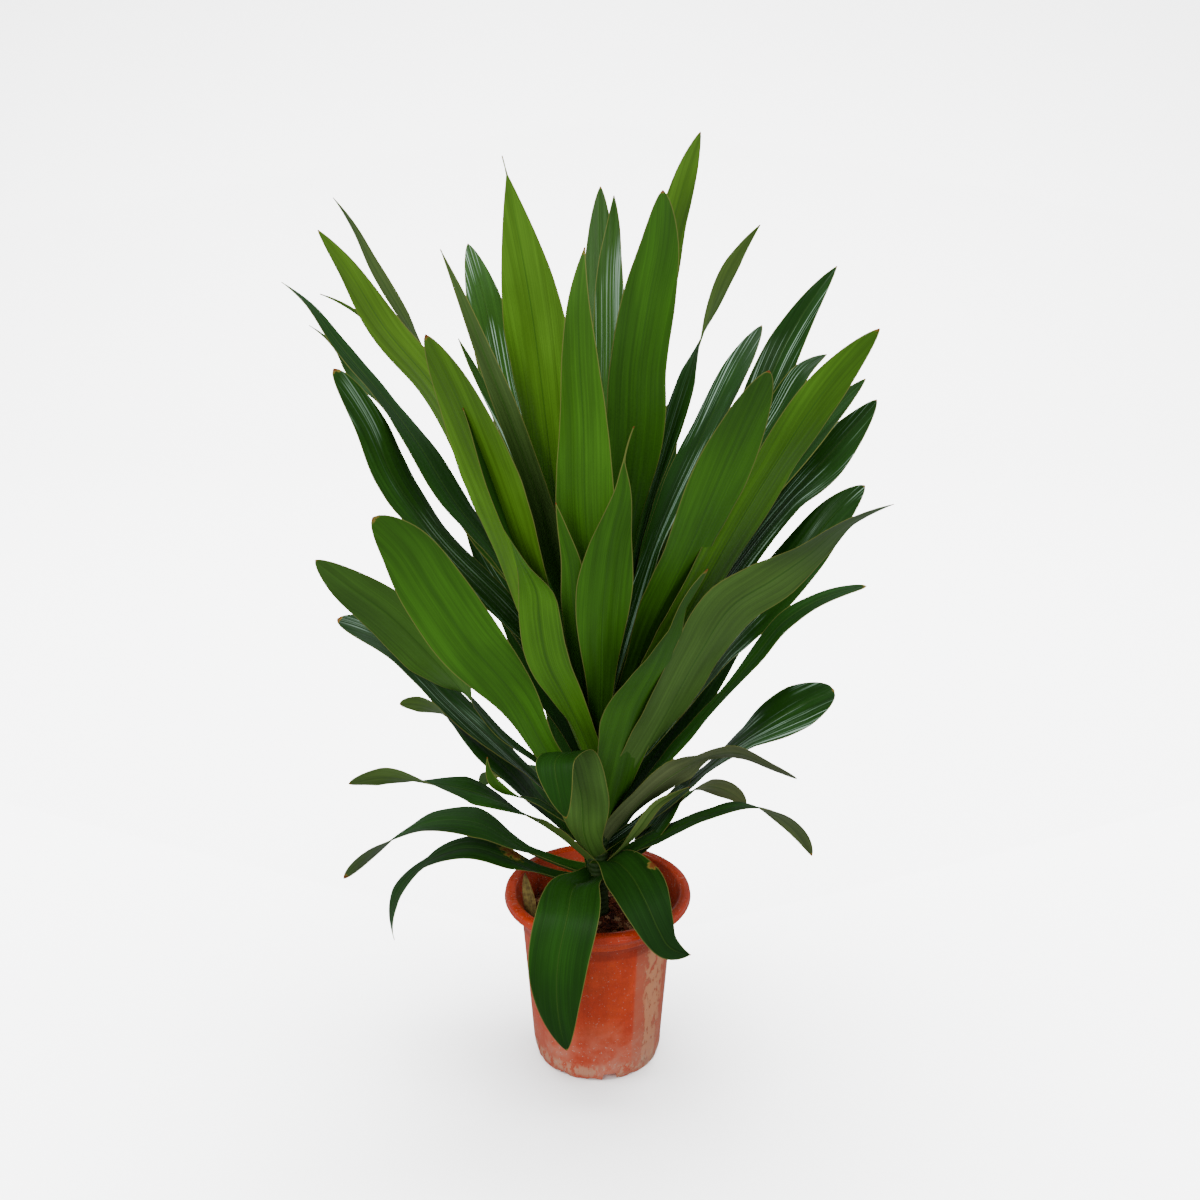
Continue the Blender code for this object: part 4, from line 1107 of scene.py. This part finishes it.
def soil_height(x, y):
    """The soil's surface, uneven, and heaped a little round the stem."""
    reach = math.hypot(x, y)
    spot = Vector((x, y, 0.0))
    rise = noise.noise(spot * 45) * 2.2 * MM + noise.noise(spot * 130) * 1.2 * MM
    rise += noise.noise(spot * 420) * 0.6 * MM
    heap = 2.0 * MM * math.exp(-((reach - HOLE_RADIUS) / (9 * MM)) ** 2)
    edge = 1 - max(0.0, (reach - 60 * MM) / (14 * MM))
    return SOIL_TOP - 2.2 * MM * (1 - edge) + (rise * edge + heap)


def build_soil(surface):
    """The filling: down to the pot's floor, with an open hole for the stem and a crumbly top."""
    step = FOOT_STEP_HEIGHT
    floor = CHANNEL_DEPTH + FLOOR
    foot_inside = BASE_RADIUS - WALL - 3 * GAP
    corners = [
        (0, FLOOR + GAP, 0),
        (PAD_RADIUS - 3.4 * MM, FLOOR + GAP, 0),
        (PAD_RADIUS - 2.4 * MM, floor + GAP, 0),
        (foot_inside, floor + GAP, 0),
        (foot_inside, step - 4 * MM, 0),
        (inner_radius(step) - 3 * GAP, step, 1),
        (inner_radius(SOIL_EDGE) - 2 * GAP, SOIL_EDGE - 2 * MM, 1),
    ]
    rows = [np.array(corner, float) for corner in corners]
    edge = inner_radius(SOIL_EDGE) - 3 * MM
    count = 40
    for i in range(count + 1):
        rows.append(np.array([edge + (HOLE_RADIUS - edge) * i / count, SOIL_TOP, 0.0]))
    top_rows = len(corners)
    rows.append(np.array([HOLE_RADIUS, HOLE_BOTTOM, 0.0]))
    rows.append(np.array([0.0, HOLE_BOTTOM, 0.0]))
    soil = turned("soil_filling", rows, SOIL_SIDES)
    for vertex in soil.data.vertices[1 + (top_rows - 1) * SOIL_SIDES:1 + (top_rows + count) * SOIL_SIDES]:
        if vertex.co.z >= SOIL_TOP - GAP:
            vertex.co.z = soil_height(vertex.co.x, vertex.co.y)
    wrap(soil, rows)
    take(soil, surface, "soil", 60)


def chip(draw, kind):
    """One bark flake, crumb or fibre as points and faces round its own middle."""
    if kind == "flake":
        size = (draw.uniform(3, 7.5) * MM, draw.uniform(2, 4.2) * MM, draw.uniform(0.7, 1.6) * MM)
    elif kind == "crumb":
        side = draw.uniform(1.0, 2.4) * MM
        size = (side * 1.2, side, side * 0.85)
    else:
        size = (draw.uniform(5, 11) * MM, draw.uniform(0.5, 0.8) * MM, draw.uniform(0.4, 0.7) * MM)
    shape = bmesh.new()
    bmesh.ops.create_icosphere(shape, subdivisions=1 if kind != "flake" else 2, radius=1.0)
    shift = Vector((draw.uniform(-40, 40), draw.uniform(-40, 40), draw.uniform(-40, 40)))
    bend = draw.uniform(-0.25, 0.25)
    for vertex in shape.verts:
        spot = vertex.co.copy()
        square = max(abs(spot.x), abs(spot.y), abs(spot.z)) ** 0.5
        rough = 1 + 0.42 * noise.noise(spot * 1.5 + shift)
        spot = spot / square * rough
        vertex.co = Vector((spot.x * size[0], spot.y * size[1] + bend * size[0] * spot.x ** 2,
                            spot.z * size[2] + 0.3 * bend * size[0] * spot.x ** 2))
    points = [vertex.co.copy() for vertex in shape.verts]
    faces = [tuple(vertex.index for vertex in face.verts) for face in shape.faces]
    shape.free()
    return points, faces, size


def build_chips(surface):
    """Loose bark flakes, crumbs and fibres that lie on the soil."""
    draw = random.Random(CHIP_SEED)
    vertices = []
    faces = []
    tones = []
    kinds = ["flake"] * FLAKES + ["crumb"] * CRUMBS + ["fibre"] * FIBRES
    for kind in kinds:
        points, loops, size = chip(draw, kind)
        reach = math.sqrt(draw.uniform(CHIP_RING_MM[0] ** 2, CHIP_RING_MM[1] ** 2)) * MM - size[0] * 0.4
        reach = max(reach, STEM_RADIUS + 2 * MM + size[0])
        azimuth = draw.uniform(0, TURN)
        x, y = reach * math.cos(azimuth), reach * math.sin(azimuth)
        tilt = draw.gauss(0, 0.28), draw.gauss(0, 0.28), draw.uniform(0, TURN)
        turn = (Matrix.Rotation(tilt[0], 3, "X") @ Matrix.Rotation(tilt[1], 3, "Y")
                @ Matrix.Rotation(tilt[2], 3, "Z"))
        lift = size[2] * draw.uniform(0.2, 0.9)
        tone = draw.random()
        start = len(vertices)
        for point in points:
            spot = turn @ point
            spot += Vector((x, y, soil_height(x, y) + lift))
            limit = inner_radius(SOIL_EDGE) - 1 * MM
            far = math.hypot(spot.x, spot.y)
            if far > limit:
                spot.x *= limit / far
                spot.y *= limit / far
            vertices.append(spot)
            tones.append((tone, draw.random() * 0.2, 0.0))
        faces.extend(tuple(start + corner for corner in loop) for loop in loops)
    mesh = bpy.data.meshes.new("soil_chips")
    mesh.from_pydata(vertices, [], faces)
    store_vectors(mesh, tone=tones)
    made = new_object("soil_chips", mesh)
    take(made, surface, "soil", 40)


def soil_surface():
    """Damp reddish bark and coir, crumbled fine."""
    made = Surface("bark_soil_crumbs")
    place = made.place()
    broad = made.noise(place, 70.0, 3.0)
    crumbs = made.noise(place, 480.0, 5.0, 0.7)
    colour = made.mix(made.ramp(crumbs, 0.35, 0.62), (0.050, 0.011, 0.007), (0.27, 0.070, 0.032))
    colour = made.shade(colour, made.ramp(broad, 0.3, 0.7, 0.7, 1.25))
    bits = made.ramp(made.noise(place, 900.0, 2.0, 0.6), 0.62, 0.68)
    colour = made.cover(colour, (0.38, 0.15, 0.07), bits, 0.6)
    return made.finish(colour, 0.92, made.bump(crumbs, 1.6 * MM), 0.25)


def chip_surface():
    """Bark flakes from dark red-brown to pale tan."""
    made = Surface("bark_chips")
    tone = made.parts(made.attribute("tone"))[0]
    grain = made.noise(made.place(), 700.0, 4.0, 0.6)
    dark = made.mix(made.ramp(tone, 0.0, 0.55), (0.060, 0.014, 0.009), (0.26, 0.060, 0.026))
    colour = made.mix(made.ramp(tone, 0.60, 0.95), dark, (0.52, 0.27, 0.14))
    colour = made.shade(colour, made.ramp(grain, 0.3, 0.7, 0.55, 1.35))
    return made.finish(colour, 0.85, made.bump(grain, 0.5 * MM), 0.3)


def stem_row(height):
    """The stem's radius at this height: leaf scars as low rings with a crease above each."""
    part = (height - SOIL_TOP) / SCAR_SPACING % 1.0
    ring = 1.1 * MM * part ** 2.2
    crease = 0.5 * MM * math.exp(-((part - 0.04) / 0.05) ** 2)
    return STEM_RADIUS - 1.3 * MM + ring - crease


def build_stem(surface):
    """The stem, ringed with the scars of old leaves."""
    rows = [np.array([0.0, HOLE_BOTTOM + GAP, 0.0])]
    count = 230
    low, high = HOLE_BOTTOM + GAP, STEM_TOP - 8 * MM
    for i in range(count + 1):
        height = low + (high - low) * i / count
        rows.append(np.array([stem_row(height), height, 0.0]))
    rows.append(np.array([STEM_RADIUS / 2, STEM_TOP - 3 * MM, 0.0]))
    rows.append(np.array([0.0, STEM_TOP, 0.0]))

    def sway(spot):
        """Shift a point so that the rings dip and swell unevenly round the stem."""
        around = Vector((spot.x, spot.y, spot.z * 0.35)) * 90
        swell = 1 + 0.05 * noise.noise(around)
        return Vector((spot.x * swell, spot.y * swell, spot.z))

    stem = turned("stem", rows, STEM_SIDES, sway)
    wrap(stem, rows)
    take(stem, surface, "plant", 60)


def stem_surface():
    """Dark green stem bark with slightly paler ring scars."""
    made = Surface("stem_bark")
    place = made.place()
    x, y, z = made.parts(place)
    cloud = made.noise(place, 110.0, 4.0, 0.6)
    lines = made.noise(made.vector(x, y, made.times(z, 0.15)), 900.0, 3.0)
    rings = made.math("FRACT", made.math("DIVIDE", made.math("SUBTRACT", z, SOIL_TOP), SCAR_SPACING))
    colour = made.mix(made.ramp(cloud, 0.3, 0.7), (0.012, 0.042, 0.007), (0.030, 0.060, 0.012))
    colour = made.shade(colour, made.ramp(lines, 0.3, 0.7, 0.7, 1.3))
    scar = made.ramp(rings, 0.90, 1.0)
    colour = made.cover(colour, (0.10, 0.11, 0.04), scar, 0.25)
    relief = made.plus(made.times(lines, 0.6), made.times(cloud, 0.4))
    return made.finish(colour, 0.6, made.bump(relief, 0.5 * MM), 0.35)


def build_dry_leaf(surface):
    """The withered strip of leaf that stands on the soil against the pot's wall."""
    draw = random.Random(DRY_LEAF_SEED)
    points = [tuple(value * MM for value in place) for place in DRY_LEAF_SPINE]
    side = np.array(DRY_LEAF_SIDE)
    frames = blade_frames(points, DRY_LEAF_ROLLS, side, DRY_LEAF_SHAPE, 0.0)
    plain = (0.0, 0.0)
    leaf = build_blade("withered_leaf", frames, plain, plain, (6 * MM, None), (surface, surface), 3.0,
                       draw_waves(draw), 7.0)
    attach(leaf, "root")
    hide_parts("dry_leaf")


def dry_surface():
    """Papery olive-tan dead leaf with darker blots and faint spots."""
    made = Surface("withered_blade")
    along, across, seed = made.parts(made.attribute("place"))
    drawn_out = made.vector(made.times(along, 12.0), made.times(across, 900.0), seed)
    fibres = made.noise(drawn_out, 1.0, 3.0)
    blots = made.noise(made.place(), 260.0, 4.0, 0.6)
    colour = made.mix(made.ramp(blots, 0.35, 0.65), (0.26, 0.20, 0.055), (0.15, 0.10, 0.03))
    colour = made.shade(colour, made.ramp(fibres, 0.3, 0.7, 0.75, 1.2))
    spots = made.ramp(made.noise(made.place(), 520.0, 2.0), 0.64, 0.70)
    colour = made.cover(colour, (0.05, 0.025, 0.01), spots, 0.12)
    return made.finish(colour, 0.75, made.bump(fibres, 0.3 * MM), 0.25)


def build_camera():
    """The photograph's camera."""
    data = bpy.data.cameras.new("camera")
    data.lens = CAMERA_LENS
    camera = new_object("camera", data)
    camera.location = CAMERA_PLACE
    camera.rotation_euler = (CAMERA_PITCH, 0.0, 0.0)
    bpy.context.scene.camera = camera


def area_light(name, place, target, size, power, colour):
    """A square soft light aimed at a point."""
    data = bpy.data.lights.new(name, "AREA")
    data.shape = "SQUARE"
    data.size = size
    data.energy = power
    data.color = colour
    light = new_object(name, data)
    light.location = place
    light.rotation_euler = (Vector(target) - Vector(place)).to_track_quat("-Z", "Y").to_euler()
    return light


def build_studio():
    """A pale floor that curves up into a backdrop, and soft lights."""
    world = bpy.data.worlds.new("studio")
    world.use_nodes = True
    background = world.node_tree.nodes["Background"]
    background.inputs["Color"].default_value = (0.93, 0.96, 1.0, 1.0)
    background.inputs["Strength"].default_value = WORLD_STRENGTH
    bpy.context.scene.world = world
    area_light("key", (-1.4, -2.4, 2.2), (0, 0, 0.5), 1.6, KEY_POWER, (1.0, 0.98, 0.95))
    area_light("fill", (2.0, -2.0, 1.4), (0, 0, 0.5), 1.6, FILL_POWER, (0.97, 0.98, 1.0))
    area_light("ceiling", (0.0, 0.9, 2.9), (0, 0.2, 0.6), 2.2, CEILING_POWER, (0.90, 0.95, 1.0))

    outline = [(FLOOR_FRONT, 0.0)]
    for step in range(25):
        turn = math.radians(90 * step / 24)
        outline.append((SWEEP_START + SWEEP_RADIUS * math.sin(turn), SWEEP_RADIUS * (1 - math.cos(turn))))
    outline.append((SWEEP_START + SWEEP_RADIUS, BACKDROP_TOP))
    vertices = [(x, y, z) for y, z in outline for x in (-BACKDROP_HALF, BACKDROP_HALF)]
    faces = [(2 * k, 2 * k + 1, 2 * k + 3, 2 * k + 2) for k in range(len(outline) - 1)]
    mesh = bpy.data.meshes.new("backdrop")
    mesh.from_pydata(vertices, [], faces)
    mesh.shade_smooth()
    paper = Surface("backdrop_paper")
    mesh.materials.append(paper.finish((0.9, 0.9, 0.9), 0.9, specular=0.0))
    backdrop = new_object("backdrop", mesh)
    backdrop.visible_diffuse = False
    backdrop.visible_glossy = False
    flood = area_light("flood", (0.0, 2.1, 4.5), (0, 3.1, 0), 6.5, FLOOD_POWER, (1.0, 1.0, 1.0))
    lit = bpy.data.collections.new("lit_by_flood")
    lit.objects.link(backdrop)
    flood.light_linking.receiver_collection = lit


upper = leaf_surface("leaf_upper", UPPER_COLOURS, 0.54, 0.13, 1.1 * MM, 0.3, (0.05, 0.12, 0.015))
under = leaf_surface("leaf_under", UNDER_COLOURS, 0.48, 0.22, 0.35 * MM, 0.16, (0.04, 0.13, 0.01))
build_camera()
build_studio()
build_leaves((upper, under))
build_pot(pot_surface())
build_soil(soil_surface())
build_chips(chip_surface())
build_stem(stem_surface())
build_dry_leaf(dry_surface())
